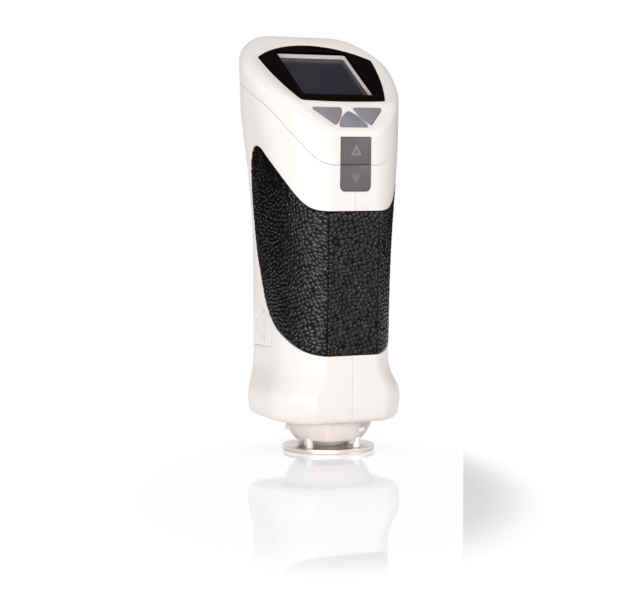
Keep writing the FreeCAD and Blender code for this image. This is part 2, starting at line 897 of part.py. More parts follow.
cover_wall = cover_wall.cut([thumb_recess(-1), thumb_recess(1)])
add_shape("battery_cover", cover_wall)

# Measuring button in the left side: a stiff core and a leather facing

button_body = form(-size("button_proud")).common(button_core(0, 0))
core_inset = size("button_thickness") - size("button_proud")
facing_inset = size("button_skin") - size("button_proud")
add_shape("button_facing", button_body.cut(form(facing_inset)))
add_shape(
    "measure_button",
    form(facing_inset).cut(form(core_inset)).common(button_core(-size("fit_gap"), 0)),
)

# Keys


def facet_key(face, flange_face):
    """A key on the facet: its cap through the cover and its flange under it."""
    under = size("housing_wall") + size("fit_gap")
    cap = slab(face, -under - size("fit_gap"), size("key_proud"), at_facet())
    flange = slab(flange_face, -under - size("key_flange_thickness"), -under, at_facet())
    return cap.fuse(flange).removeSplitter()


flange = size("key_flange")
add_shape("enter_key", facet_key(corner_key_face(-1, 0), corner_key_face(-1, flange)))
add_shape("cancel_key", facet_key(corner_key_face(1, 0), corner_key_face(1, flange)))
# the middle key's flange stops short of the flanges of its two neighbours
beside = [corner_key_face(side, flange + size("key_gap")) for side in (-1, 1)]
add_shape("save_key", facet_key(middle_key_face(0), middle_key_face(flange).cut(beside)))
arrow_flange_front = -size("front_reach") + size("arrow_flange_depth")
arrow_flange_back = arrow_flange_front + size("key_flange_thickness")


def arrow_key(low, high, low_grow, high_grow):
    """An arrow key on the front: its cap follows the front face, its flange lies behind it."""
    cap = arrow_key_solid(low, high, 0, front_far, arrow_flange_back)
    cap = cap.common(form(-size("key_proud")))
    half = size("arrow_key_half") + flange
    plate = block(
        -half, half, arrow_flange_front, arrow_flange_back, low - low_grow, high + high_grow
    )
    return cap.fuse(plate).removeSplitter()


split = arrow_key_split
key_gap = size("key_gap")
add_shape("up_key", arrow_key(split + key_gap / 2, arrow_key_top, 0, flange))
add_shape("down_key", arrow_key(arrow_key_bottom, split - key_gap / 2, flange, 0))

# Key mat, domes and board behind the keys

key_under = size("housing_wall") + size("fit_gap") + size("key_flange_thickness")
stack_top = key_under + size("key_travel") + size("fit_gap")
mat_half = size("mat_half_width")
mat_low = -size("facet_length")
mat_high = -size("corner_key_top") + size("key_flange") * 2


def facet_plate(top, thickness):
    """A flat plate under the keys of the facet, its top this far below the facet."""
    face = Part.Face(Part.Wire(rectangle(-mat_half, mat_half, mat_low, mat_high)))
    return slab(face, -top - thickness, -top, at_facet()).common(cavity)


def front_plate(front, thickness):
    """A flat plate behind the arrow keys."""
    low = arrow_key_bottom - size("key_flange") * 2
    high = arrow_key_top + size("key_flange") * 2
    half = size("arrow_key_half") * 2
    return block(-half, half, front, front + thickness, low, high).common(cavity)


mat = size("mat_thickness")
dome = size("dome_height")
tiny = size("fit_gap") / 2
front_top = arrow_flange_back + size("key_travel") + size("fit_gap")
add_shape(
    "key_mat", facet_plate(stack_top, mat).fuse(front_plate(front_top, mat)).removeSplitter()
)
dome_top = stack_top + mat + tiny
board_top = dome_top + dome + tiny
board = size("board_thickness")
add_shape(
    "key_board",
    facet_plate(board_top, board)
    .fuse(front_plate(front_top + mat + dome + 2 * tiny, board))
    .removeSplitter(),
)
domes = []
corner_x = (size("corner_key_outer") + size("corner_key_inner") + size("corner_key_tip")) / 3
corner_y = -(2 * size("corner_key_top") + size("corner_key_bottom")) / 3
middle_y = -(size("middle_key_top") + 2 * size("middle_key_bottom")) / 3
for place in (Vector(-corner_x, corner_y, 0), Vector(corner_x, corner_y, 0), Vector(0, middle_y, 0)):
    button = Part.makeCylinder(size("dome_radius"), dome, place - Vector(0, 0, dome_top + dome))
    button.Placement = at_facet().multiply(button.Placement)
    domes.append(button)
for low, high in ((arrow_key_bottom, split), (split, arrow_key_top)):
    domes.append(
        Part.makeCylinder(
            size("dome_radius"),
            dome,
            Vector(0, front_top + mat + tiny, (low + high) / 2),
            Vector(0, 1, 0),
        )
    )
add_shape("key_switches", Part.makeCompound(domes))

# Display under its window


def slope_plate(half, low, high, top, thickness):
    """A flat plate under the display slope."""
    face = Part.Face(Part.Wire(rectangle(-half, half, low, high)))
    return slab(face, -top - thickness, -top, at_slope())


add_shape("display_window", slab(window_face(0), -size("window_thickness"), 0, at_slope()))
screen_low = size("screen_start")
screen_high = size("screen_start") + size("screen_length")
screen_half = size("screen_half_width")
mask = slab(window_face(0), -window_depth, -size("window_thickness"), at_slope())
screen_outline = rectangle(-screen_half, screen_half, screen_low, screen_high)
screen_face = rounded(screen_outline, size("screen_corner"), 0)
screen_hole = slab(screen_face, -size("overrun"), size("overrun"), at_slope())
add_shape("window_mask", mask.cut(screen_hole))
frame_face = rounded(frame_outline, size("frame_corner"), 0)
frame = slab(frame_face, -window_depth - size("frame_depth"), -window_depth, at_slope())
add_shape("lcd_frame", frame.cut(screen_hole))
panel_top = window_depth + size("frame_depth") + tiny
add_shape("lcd_panel", slope_plate(frame_half, frame_low, frame_high, panel_top, size("panel_thickness")))
display_board_top = panel_top + size("panel_thickness") + tiny
add_shape(
    "display_board",
    slope_plate(
        frame_half + size("frame_wall"),
        frame_low - size("frame_wall"),
        frame_high + size("frame_wall"),
        display_board_top,
        board,
    ),
)

# Measuring head: a hollow sphere in two halves, whose lower half shows under the housing

level = size("sphere_level")
inner_radius = size("sphere_inner_radius")
port_level = size("plate_thickness") + tiny
ball = Part.makeSphere(bowl_radius, Vector(0, 0, level))
ball_hollow = Part.makeSphere(inner_radius, Vector(0, 0, level))
crease_level = level - math.sqrt(bowl_radius**2 - size("crease_radius") ** 2)
dish_profile = [
    Vector(0, 0, port_level),
    Vector(size("neck_radius"), 0, port_level),
    Vector(size("neck_top_radius"), 0, crease_level),
    Vector(wide, 0, crease_level),
    Vector(wide, 0, level),
    Vector(0, 0, level),
]
dish = Part.Face(Part.makePolygon(dish_profile + dish_profile[:1])).revolve(
    Vector(), Vector(0, 0, 1), 360
)


def rounds(count, start, radius):
    """Evenly spaced directions round the Z axis, as (angle, X, Y)."""
    found = []
    for number in range(count):
        angle = math.radians(start + 360.0 * number / count)
        found.append((angle, radius * math.cos(angle), radius * math.sin(angle)))
    return found


POST_START = 30
PIN_START = 53
LAMP_START = 30
SCREW_START = 45
post_places = rounds(4, POST_START, size("post_circle"))
flange_cut = size("sphere_flange_thickness")
lower_flange = Part.makeCylinder(size("sphere_flange_radius"), flange_cut, Vector(0, 0, level - flange_cut))
upper_flange = Part.makeCylinder(size("sphere_flange_radius"), flange_cut, Vector(0, 0, level + tiny))
bowl = ball.common(dish).fuse(lower_flange.common(cavity))
socket_top = size("plate_thickness") + size("post_height") + size("post_pin_length") + size("fit_gap")
sockets = [
    Part.makeCylinder(size("post_pin_radius") + size("fit_gap"), socket_top, Vector(x, y, 0))
    for _, x, y in post_places
]
screw_places = rounds(4, SCREW_START, size("flange_screw_circle"))
screw_bore = size("screw_radius") + size("fit_gap")
flange_holes = [
    Part.makeCylinder(screw_bore, 4 * flange_cut, Vector(x, y, level - 2 * flange_cut))
    for _, x, y in screw_places
]
port_hole = Part.makeCylinder(size("port_radius") + tiny, level)
bowl = bowl.cut([ball_hollow, port_hole] + sockets + flange_holes)
add_shape("sphere_lower", bowl)

dome_shell = ball.cut(block(-wide, wide, -deep, deep, -bowl_radius, level + tiny))
dome_shell = dome_shell.fuse(upper_flange.common(cavity)).cut(ball_hollow)
tube_hole = Part.makeCylinder(size("tube_radius") + tiny, 2 * bowl_radius, Vector(0, 0, level))
lamp_places = rounds(6, LAMP_START, size("lamp_circle"))
lamp_ports = [
    Part.makeCylinder(size("lamp_port_radius"), bowl_radius, Vector(x, y, level))
    for _, x, y in lamp_places
]
add_shape("sphere_upper", dome_shell.cut([tube_hole] + lamp_ports + flange_holes))


def screw(head_centre, direction, length):
    """A pan head screw: its head rests at head_centre and its shank runs along direction."""
    head = Part.makeCylinder(
        size("screw_head_radius"), size("screw_head_height"), head_centre, -direction
    )
    drive = Part.makeCylinder(
        size("screw_radius"), size("screw_head_height") / 2,
        head_centre - direction * size("screw_head_height"), direction,
    )
    shank = Part.makeCylinder(size("screw_radius") - tiny, length, head_centre, direction)
    return head.cut(drive).fuse(shank)


foot_slope = math.tan(math.radians(size("foot_tilt")))
floor_rise = (size("flange_screw_circle") + size("foot_pivot")) * foot_slope
flange_shank = 2 * flange_cut - floor_rise
add_shape(
    "sphere_screws",
    Part.makeCompound(
        [
            screw(Vector(x, y, level + flange_cut + 2 * tiny), Vector(0, 0, -1), flange_shank)
            for _, x, y in screw_places
        ]
    ),
)
pins = []
for angle, x, y in rounds(3, PIN_START, 0):
    height = level - size("cap_pin_level")
    edge = math.sqrt(bowl_radius**2 - height**2)
    direction = Vector(math.cos(angle), math.sin(angle), 0)
    pin = Part.makeCylinder(
        size("cap_pin_radius"), size("cap_pin_length") * 2,
        direction * (edge - size("cap_pin_length")) + Vector(0, 0, size("cap_pin_level")), direction,
    )
    pins.append(pin.cut(Part.makeSphere(bowl_radius + tiny / 2, Vector(0, 0, level))))
add_shape("cap_pins", Part.makeCompound(pins))


def round_hole(body, label, radius, bottom, height, place=None):
    """Cut a round hole upwards into a body, from bottom by height, at a place across X and Y."""
    sketch = body.newObject("Sketcher::SketchObject", label + "_sketch")
    sketch.AttachmentSupport = (origin_plane(body, "XY_Plane"), [""])
    sketch.MapMode = "FlatFace"
    draft = size("screw_radius")
    draft_place = size("post_circle")
    draft_centre = Vector(draft_place, draft_place, 0)
    sketch.addGeometry(Part.Circle(draft_centre, Vector(0, 0, 1), draft), False)
    radius_row = sketch.addConstraint(Sketcher.Constraint("Radius", 0, draft))
    sketch.setExpression("Constraints[%d]" % radius_row, radius)
    if place is None:
        sketch.addConstraint(Sketcher.Constraint("Coincident", 0, 3, -1, 1))
    else:
        for kind, distance in zip(("DistanceX", "DistanceY"), place):
            place_row = sketch.addConstraint(Sketcher.Constraint(kind, -1, 1, 0, 3, draft_place))
            sketch.setExpression("Constraints[%d]" % place_row, distance)
    sketch.setExpression("AttachmentOffset.Base.z", bottom)
    pocket = body.newObject("PartDesign::Pocket", label)
    pocket.Profile = sketch
    pocket.Reversed = True
    pocket.setExpression("Length", height)
    body.Tip = pocket
    return pocket, sketch


port_ring = ring_body(
    "port_ring", "Dims.port_radius", "Dims.port_bore", "Dims.plate_thickness + Dims.fit_gap",
    "Dims.port_height",
)
round_hole(
    port_ring, "glass_seat", "Dims.glass_radius + Dims.fit_gap / 2",
    "Dims.glass_level - Dims.fit_gap / 2", "Dims.port_height",
)
ring_body("port_window", "Dims.glass_radius", None, "Dims.glass_level", "Dims.glass_thickness")

# Locating plate on four posts, which plug into the lower half of the sphere

FIRST_POST = ["Dims.post_circle * %s(%d deg)" % (way, POST_START) for way in ("cos", "sin")]

plate = ring_body("locating_plate", "Dims.plate_radius", "Dims.aperture_radius", "0", "Dims.plate_thickness")
hole, hole_sketch = round_hole(
    plate, "plate_screw_hole", "Dims.plate_screw_radius + Dims.fit_gap / 2", "0",
    "Dims.plate_thickness", FIRST_POST,
)
holes = plate.newObject("PartDesign::PolarPattern", "plate_screw_holes")
holes.Originals = [hole]
holes.Axis = (hole_sketch, ["N_Axis"])
holes.Angle = 360
holes.Occurrences = 4
plate.Tip = holes
sink, sink_sketch = round_hole(
    plate, "plate_screw_sink", "Dims.plate_screw_head + Dims.fit_gap / 2", "0",
    "Dims.plate_screw_head_height + Dims.fit_gap", FIRST_POST,
)
sinks = plate.newObject("PartDesign::PolarPattern", "plate_screw_sinks")
sinks.Originals = [sink]
sinks.Axis = (sink_sketch, ["N_Axis"])
sinks.Angle = 360
sinks.Occurrences = 4
plate.Tip = sinks

plate_top = size("plate_thickness")
clear_ball = Part.makeSphere(bowl_radius + size("fit_gap"), Vector(0, 0, level))
posts = []
plate_screws = []
for _, x, y in post_places:
    column = Part.makeCylinder(size("post_radius"), level - plate_top, Vector(x, y, plate_top))
    column = sorted(column.cut(clear_ball).Solids, key=lambda solid: solid.BoundBox.ZMin)[0]
    pin = Part.makeCylinder(
        size("post_pin_radius"), size("post_height") + size("post_pin_length"), Vector(x, y, plate_top)
    )
    pilot = Part.makeCylinder(
        size("plate_screw_radius") + tiny / 2, size("post_height"), Vector(x, y, plate_top)
    )
    posts.append(column.fuse(pin).cut(pilot).removeSplitter())
    foot = Vector(x, y, size("fit_gap"))
    head_height = size("plate_screw_head_height")
    head = Part.makeCylinder(size("plate_screw_head"), head_height, foot)
    shank_length = plate_top + size("post_height") - 2 * size("fit_gap")
    shank = Part.makeCylinder(size("plate_screw_radius"), shank_length, foot)
    drive = Part.makeCylinder(size("plate_screw_radius"), head_height / 2, foot)
    plate_screws.append(head.fuse(shank).cut(drive))
add_shape("locating_posts", Part.makeCompound(posts))
add_shape("plate_screws", Part.makeCompound(plate_screws))

# Lamps and detector above the sphere

board_low = "Dims.sphere_level + Dims.sphere_inner_radius + Dims.sphere_wall + Dims.seat_gap"
ring_body(
    "lamp_board", "Dims.lamp_board_radius", "Dims.tube_radius + Dims.fit_gap", board_low,
    "Dims.board_thickness",
)
lamp_top = level + bowl_radius + size("seat_gap") - tiny
lamps = []
shaft = size("lamp_length") - size("lamp_radius")
for _, x, y in lamp_places:
    tip = Vector(x, y, lamp_top - shaft)
    lamp = Part.makeCylinder(size("lamp_radius"), shaft, tip)
    lamps.append(lamp.fuse(Part.makeSphere(size("lamp_radius"), tip)).removeSplitter())
add_shape("lamps", Part.makeCompound(lamps))
ring_body("sensor_tube", "Dims.tube_radius", "Dims.tube_bore", "Dims.tube_level", "Dims.tube_length")
ring_body(
    "sensor_lens", "Dims.tube_bore - Dims.fit_gap / 2", None,
    "Dims.tube_level + Dims.tube_length / 2", "Dims.lens_thickness",
)
tube_end = "Dims.tube_level + Dims.tube_length"
sensor_board = box_part(
    "sensor_board", "Dims.sensor_board_half * 2", "Dims.sensor_board_half * 2", "Dims.board_thickness",
    "-Dims.sensor_board_half", "-Dims.sensor_board_half", tube_end + " + Dims.fit_gap / 2",
)
listed(sensor_board)
ring_body(
    "photodiode", "Dims.detector_radius", None, tube_end + " - Dims.detector_height", "Dims.detector_height",
)

# Chassis with its battery shelf and the standoffs of the main board

chassis_front = size("chassis_front")
chassis_back = chassis_front + size("chassis_thickness")
chassis_top = below_top("chassis_top_drop")
chassis = block(-wide, wide, chassis_front, chassis_back, size("chassis_bottom"), chassis_top)
# the pressed button passes the edge of the chassis
switch_out = -inside_head("measure_switch_inset")
switch_in = switch_out + size("measure_switch_height")
button_way = button_core(size("button_gap"), switch_in)
chassis = chassis.common(cavity).cut(button_way)
shelf_top = size("battery_level") - size("seat_gap")
shelf = block(
    -size("battery_half_width"), size("battery_half_width"),
    chassis_front, chassis_back + size("battery_thickness"),
    shelf_top - size("shelf_thickness"), shelf_top,
)
board_half = size("main_board_half")
main_board_top = below_top("main_board_top_drop")
standoff_front = chassis_front - size("standoff_height")
corner_inset = size("standoff_radius") * 1.5
standoff_places = [
    (side * (board_half - corner_inset), end)
    for side in (-1, 1)
    for end in (size("main_board_bottom") + corner_inset, main_board_top - corner_inset)
]


def along_y(radius, start, end, x, z):
    """A cylinder along Y between two Y places."""
    return Part.makeCylinder(radius, end - start, Vector(x, start, z), Vector(0, 1, 0))


chassis = chassis.fuse(
    [shelf]
    + [along_y(size("standoff_radius"), standoff_front, chassis_back, x, z) for x, z in standoff_places]
)
chassis = chassis.cut(
    [along_y(size("screw_radius"), standoff_front, chassis_back, x, z) for x, z in standoff_places]
)
add_shape("chassis", chassis.removeSplitter())

board_front = "Dims.chassis_front - Dims.standoff_height - Dims.board_thickness"
board_end = "Dims.overall_height - Dims.main_board_top_drop"
blank = box_part(
    "main_board_blank", "Dims.main_board_half * 2", "Dims.board_thickness",
    board_end + " - Dims.main_board_bottom", "-Dims.main_board_half", board_front,
    "Dims.main_board_bottom",
)
main_holes = doc.addObject("Part::MultiFuse", "main_board_holes")
drills = []
for number, (side, top) in enumerate(((-1, 0), (-1, 1), (1, 0), (1, 1))):
    drill = doc.addObject("Part::Cylinder", "main_board_drill_%d" % number)
    bind(drill, Radius="Dims.screw_radius + Dims.fit_gap", Height="Dims.board_thickness * 3")
    drill.Placement = Placement(Vector(), Rotation(Vector(1, 0, 0), -90))
    inset = "Dims.standoff_radius * 1.5"
    height = board_end + " - " + inset if top else "Dims.main_board_bottom + " + inset
    bind(
        drill,
        Placement__Base__x="%d * (Dims.main_board_half - %s)" % (side, inset),
        Placement__Base__y=board_front + " - Dims.board_thickness",
        Placement__Base__z=height,
    )
    drills.append(drill)
main_holes.Shapes = drills
main_board = doc.addObject("Part::Cut", "main_board")
main_board.Base = blank
main_board.Tool = main_holes
listed(main_board)
front_face = chassis_front - size("standoff_height") - size("board_thickness")
add_shape(
    "board_screws",
    Part.makeCompound(
        [
            screw(Vector(x, front_face, z), Vector(0, 1, 0), board + size("standoff_height"))
            for x, z in standoff_places
        ]
    ),
)


def chip(left, bottom, width, height, thickness):
    """A block standing on the front face of the main board."""
    back = front_face - tiny
    return block(left, left + width, back - thickness, back, bottom, bottom + height)


processor = size("processor_side")
connector = size("connector_height")
board_bottom = size("main_board_bottom")
board_rise = main_board_top - board_bottom
PROCESSOR_SHARE = 0.312
MEMORY_SHARE = 0.156
processor_low = board_bottom + PROCESSOR_SHARE * board_rise
memory_low = board_bottom + MEMORY_SHARE * board_rise
add_shape(
    "main_chips",
    Part.makeCompound(
        [
            chip(-processor / 2, processor_low, processor, processor, board),
            chip(processor, memory_low, processor / 2, processor, board),
            chip(-processor, main_board_top - 2 * connector, 2 * processor, connector, connector),
            chip(-processor, board_bottom + connector, 2 * processor, connector, connector),
        ]
    ),
)
buzzer = doc.addObject("Part::Cylinder", "buzzer")
bind(buzzer, Radius="Dims.buzzer_radius", Height="Dims.buzzer_height")
buzzer.Placement = Placement(Vector(), Rotation(Vector(1, 0, 0), 90))
bind(
    buzzer,
    Placement__Base__x="Dims.main_board_half / 2",
    Placement__Base__y=board_front + " - Dims.fit_gap / 2",
    Placement__Base__z=board_end + " - Dims.connector_height * 4",
)
listed(buzzer)

# Battery pack on the shelf, and its contacts

battery_pack = box_part(
    "battery_pack", "Dims.battery_half_width * 2", "Dims.battery_thickness", "Dims.battery_height",
    "-Dims.battery_half_width", "Dims.chassis_front + Dims.chassis_thickness + Dims.seat_gap",
    "Dims.battery_level",
)
listed(battery_pack)
contacts = []
battery_top = size("battery_level") + size("battery_height")
for side in (-1, 1):
    middle = side * size("battery_half_width") / 2
    wing = size("contact_width") / 2
    contacts.append(
        block(
            middle - wing, middle + wing, chassis_back + tiny, chassis_back + size("contact_width"),
            battery_top + size("seat_gap"), battery_top + size("seat_gap") + size("contact_height"),
        )
    )
add_shape("battery_contacts", Part.makeCompound(contacts))

# Switch behind the measuring button, on a small board beside the main board

switch_half = size("measure_switch_side") / 2
add_shape(
    "measure_switch",
    block(
        switch_out, switch_in, button_y - switch_half, button_y + switch_half,
        button_level - switch_half, button_level + switch_half,
    ),
)
add_shape(
    "switch_board",
    block(
        switch_in + tiny, switch_in + tiny + board, -2 * size("measure_switch_side") + switch_half,
        front_face - size("fit_gap"), button_level - 2 * size("measure_switch_side"),
        button_level + 2 * size("measure_switch_side"),
    ),
)

# Power switch, charging socket and data port in the right side

knob_half = size("switch_knob_length") / 2
knob_wide = size("switch_slot_width") / 2 - size("fit_gap")
knob_level = switch_level - size("switch_travel") / 2
switch_wall = inside_head("switch_wall_inset")
add_shape(
    "power_knob",
    block(
        switch_wall - size("fit_gap"), switch_wall + size("housing_wall") + size("switch_proud"),
        size("switch_place") - knob_wide, size("switch_place") + knob_wide,
        knob_level - knob_half, knob_level + knob_half,
    ),
)
add_shape(
    "power_switch",
    block(
        switch_wall - size("switch_body_depth"), switch_wall - 2 * size("fit_gap"),
        size("switch_place") - size("switch_body_width") / 2,
        size("switch_place") + size("switch_body_width") / 2,
        switch_level - size("switch_body_length") / 2,
        switch_level + size("switch_body_length") / 2,
    ),
)
port_board_x = inside_head("port_board_inset")
port_back = port_board_x + board + tiny
port_front = port_back + size("usb_depth")
port_z = size("port_level")
usb_left = size("usb_place") - size("usb_width") / 2
usb_right = size("usb_place") + size("usb_width") / 2
usb_low = port_z - size("usb_height") / 2
usb_high = port_z + size("usb_height") / 2
usb_shell = size("usb_shell")
usb_mouth = block(
    port_back + size("usb_floor"), wide, usb_left + usb_shell, usb_right - usb_shell,
    usb_low + usb_shell, usb_high - usb_shell,
)
add_shape("usb_port", block(port_back, port_front, usb_left, usb_right, usb_low, usb_high).cut(usb_mouth))
jack_y = size("jack_place")
jack = along_x(size("jack_radius"), port_back, port_front, jack_y, port_z)
jack = jack.cut(along_x(size("jack_bore"), port_back + size("jack_floor"), wide, jack_y, port_z))
jack = jack.fuse(along_x(size("jack_pin"), port_back, port_back + size("jack_pin_length"), jack_y, port_z))
add_shape("dc_socket", jack.removeSplitter())
add_shape(
    "port_board",
    block(
        port_board_x, port_board_x + board,
        size("usb_place") - size("usb_width"), size("jack_place") + 2 * size("jack_radius"),
        level + flange_cut + size("seat_gap"), size("port_level") + 2 * size("jack_radius"),
    ),
)

# Screws of the housing and the cover

add_shape(
    "housing_screws",
    Part.makeCompound(
        [
            screw(
                Vector(size("boss_head_depth"), place, height), Vector(-1, 0, 0),
                size("boss_head_depth") + size("boss_screw_length") - size("fit_gap"),
            )
            for place, height in bosses
        ]
    ),
)
add_shape(
    "cover_screws",
    Part.makeCompound(
        [
            screw(
                Vector(side * post_x, size("cover_post_back"), below_top("cover_screw_drop")),
                Vector(0, 0, 1),
                size("cover_screw_length"),
            )
            for side in (-1, 1)
        ]
    ),
)

# Flat cable from the display board to the main board

cable_half = size("processor_side") / 2
top_y, top_z = slope_point(size("window_shoulder") / 2, -display_board_top - board - tiny)
foil = size("mask_thickness")
add_shape(
    "display_cable",
    prism_x(
        [
            (top_y, top_z),
            (top_y - foil, top_z - foil),
            (front_face - tiny - foil, main_board_top - connector),
            (front_face - tiny, main_board_top - connector),
        ],
        cable_half,
    ),
)

doc.recompute()
for item in doc.Objects:
    if "Invalid" in item.State or "Error" in item.State:
        raise RuntimeError("%s did not compute: %s" % (item.Name, item.State))
for node in NODES:
    if node.Shape.isNull() or not node.Shape.isValid() or not node.Shape.Solids:
        raise RuntimeError("%s has no valid shape" % node.Label)
for node in NODES:
    node.Shape.exportStep("parts/%s.step" % node.Label)
print("wrote", len(NODES), "pieces")
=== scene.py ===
"""Upright colour measuring instrument: its finishes, its pebbled leather grip and its studio.

Lengths are metres. The instrument stands on the plate of its measuring port, +Z goes up and the
keys face -Y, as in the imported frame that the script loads.
"""

import json
import math

import bmesh
import bpy
import numpy as np
from bpy.props import FloatProperty, FloatVectorProperty, PointerProperty
from mathutils import Matrix, Vector
from mathutils.bvhtree import BVHTree


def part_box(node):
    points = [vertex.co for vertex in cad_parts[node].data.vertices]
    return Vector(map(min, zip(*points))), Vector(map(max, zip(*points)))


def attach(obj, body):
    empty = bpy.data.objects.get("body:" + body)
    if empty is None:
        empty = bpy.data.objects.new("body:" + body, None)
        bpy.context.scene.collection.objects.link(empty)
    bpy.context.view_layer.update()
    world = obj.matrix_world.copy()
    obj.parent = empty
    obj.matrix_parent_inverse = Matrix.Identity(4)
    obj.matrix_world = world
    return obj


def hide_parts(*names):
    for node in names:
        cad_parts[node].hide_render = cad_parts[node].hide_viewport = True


bl_info = {
    "name": "Colour measuring instrument",
    "version": (1, 0, 0),
    "blender": (4, 5, 0),
    "location": "3D View > Sidebar > Instrument",
    "description": "Finishes, leather grip, keys, display and studio of an upright colour meter",
    "category": "Object",
}

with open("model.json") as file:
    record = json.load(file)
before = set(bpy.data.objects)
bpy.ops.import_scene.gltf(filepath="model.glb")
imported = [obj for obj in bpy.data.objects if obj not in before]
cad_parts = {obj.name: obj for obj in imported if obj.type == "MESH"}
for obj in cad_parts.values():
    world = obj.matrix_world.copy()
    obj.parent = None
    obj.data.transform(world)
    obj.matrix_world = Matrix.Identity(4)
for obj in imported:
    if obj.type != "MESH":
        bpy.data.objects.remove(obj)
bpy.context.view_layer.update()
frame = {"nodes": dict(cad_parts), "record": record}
NODES = frame["nodes"]
BODY_OF = {node: body for body, nodes in frame["record"]["behaviour"]["bodies"].items() for node in nodes}
SLOT_OF = {row["node"]: row["material_slot"] for row in frame["record"]["subparts"]}
MM = 0.001

# The display slope: its angle, its lower front edge and the screen's opening on it
SLOPE_ANGLE = 34.75
SLOPE_FOOT = Vector((0, -17.4 * MM, 170.75 * MM))
SCREEN_LOW = 6.5 * MM
SCREEN_HIGH = 45.3 * MM
SCREEN_HALF = 19.3 * MM
SCREEN_CORNER = 1.8 * MM

# Copies of CAD nodes: the finest seam that is closed, the angles that count as flat, as an edge and
# as smooth, and the rounding of their edges
WELD = 0.002 * MM
FLAT_ANGLE = math.radians(0.6)
EDGE_ANGLE = math.radians(35)
SMOOTH_ANGLE = math.radians(30)
EDGES = {
    "left_housing": 0.22 * MM,
    "right_housing": 0.22 * MM,
    "top_cover": 0.22 * MM,
    "battery_cover": 0.22 * MM,
    "locating_plate": 0.25 * MM,
    "locating_posts": 0.2 * MM,
    "cap_pins": 0.2 * MM,
    "plate_screws": 0.1 * MM,
    "power_knob": 0.3 * MM,
    "usb_port": 0.1 * MM,
    "dc_socket": 0.15 * MM,
}

# Leather: the height of a pebble that lies on the CAD surface, the deepest roll of an edge, the
# gap round the button, about how far a side panel reaches round, the smoothing angle, and the size
# of the table that jitters the pebbles
PEBBLE_LEVEL = 0.8
DEEPEST_ROLL = 0.55 * MM
BUTTON_GAP = 0.05 * MM
SIDE_REACH = 55 * MM * math.pi / 2
LEATHER_ANGLE = math.radians(60)
JITTER_SIZE = 512

# Lamps: power setting, size, azimuth, elevation, distance, and where they are unlike the rest the
# height aimed at, the beam's angle and whether reflections show them
AIM = 0.1
BEAM = 180.0
LAMPS = (
    ("key_power", (0.11, 0.34), -56.0, 7.0, 0.95),
    ("side_power", (0.7, 0.7), -108.0, 8.0, 1.2, AIM, BEAM, False),
    ("fill_power", (0.4, 0.4), 46.0, 22.0, 1.1),
    ("low_power", (0.3, 0.04), -26.0, -6.6, 0.6),
    ("top_power", (0.6, 0.6), -10.0, 75.0, 0.9),
    ("neck_power", (0.2, 0.005), -26.0, 1.0, 0.4, 0.006, 3.0, False),
)


# Settings


def number(name, default, description, **limits):
    """A number that a user would change."""
    return FloatProperty(name=name, default=default, description=description, **limits)


def length(name, default, description):
    """A length that a user would change."""
    return number(name, default, description, min=0.0, unit="LENGTH", precision=5)


def power(name, default, description):
    """A lamp's power that a user would change."""
    return number(name, default, description, min=0.0, unit="POWER", precision=4)


def colour(name, default, description):
    """A colour that a user would change."""
    return FloatVectorProperty(
        name=name, default=default, size=3, min=0.0, max=1.0, subtype="COLOR", description=description
    )


class InstrumentLeather(bpy.types.PropertyGroup):
    """Sizes of the pebbled leather"""

    pebble_width: length("Pebble width", 2.35 * MM, "Width of one pebble of the grain across the grip")
    pebble_height: length("Pebble height", 2.1 * MM, "Height of one pebble of the grain up the grip")
    pebble_depth: length("Pebble depth", 0.46 * MM, "How far the pebbles stand above the valleys")
    mesh_step: length("Mesh step", 0.4 * MM, "Distance between neighbouring points of the leather")
    thickness: length("Thickness", 0.3 * MM, "Thickness of the leather")
    edge_roll: length("Edge roll", 0.7 * MM, "Radius of the rounded edge of the leather")
    crease_half: length("Crease place", 13.4 * MM, "Distance of the two pressed creases from the middle")
    crease_roll: length("Crease roll", 0.9 * MM, "Width of the leather's turn into a pressed crease")
    crease_depth: length("Crease depth", 0.35 * MM, "Depth of the two pressed creases")


class InstrumentKeys(bpy.types.PropertyGroup):
    """Sizes of the keys' soft edges and printed arrows"""

    edge_round: length("Key edge", 0.22 * MM, "Rounding of the keys' edges")
    arrow_side: length("Arrow side", 5.6 * MM, "Length of a side of the printed arrows")
    arrow_line: length("Arrow line", 0.45 * MM, "Width of the upper arrow's outline")
    arrow_print: length("Arrow print", 0.03 * MM, "Thickness of the printed arrows")


class InstrumentColours(bpy.types.PropertyGroup):
    """Colours of the finishes"""

    shell: colour("Shell", (0.80, 0.752, 0.731), "Warm white plastic of the housing")
    # painted shade for the faces inside the narrow joints between the white mouldings
    joint: colour("Joints", (0.05, 0.035, 0.025), "Dark of the narrow joints between the mouldings")
    leather: colour("Leather", (0.0014, 0.0012, 0.0013), "Black leather of the grip")
    # pebble tops: partly wear, partly a painted highlight
    leather_top: colour("Leather pebbles", (0.0045, 0.004, 0.0045), "Worn tops of the leather's pebbles")
    small_key: colour("Small keys", (0.215, 0.208, 0.225), "Grey of the keys under the display")
    arrow_key: colour("Arrow keys", (0.104, 0.087, 0.097), "Grey of the two arrow keys")
    arrow: colour("Arrows", (0.15, 0.137, 0.148), "Pale print on the arrow keys")
    arrow_edge: colour("Arrow outline", (0.27, 0.25, 0.27), "Paler outline of the upper arrow")
    mask: colour("Display mask", (0.006, 0.004, 0.004), "Print round the screen")
    screen: colour("Screen", (0.031, 0.029, 0.043), "Screen when it is off")
    screen_frame: colour("Screen frame", (0.95, 0.89, 0.84), "Walls round the screen")
    bowl: colour("Bowl", (0.64, 0.585, 0.545), "Warm white of the measuring bowl")
    plate: colour("Plate", (0.80, 0.72, 0.68), "Satin metal of the locating plate")


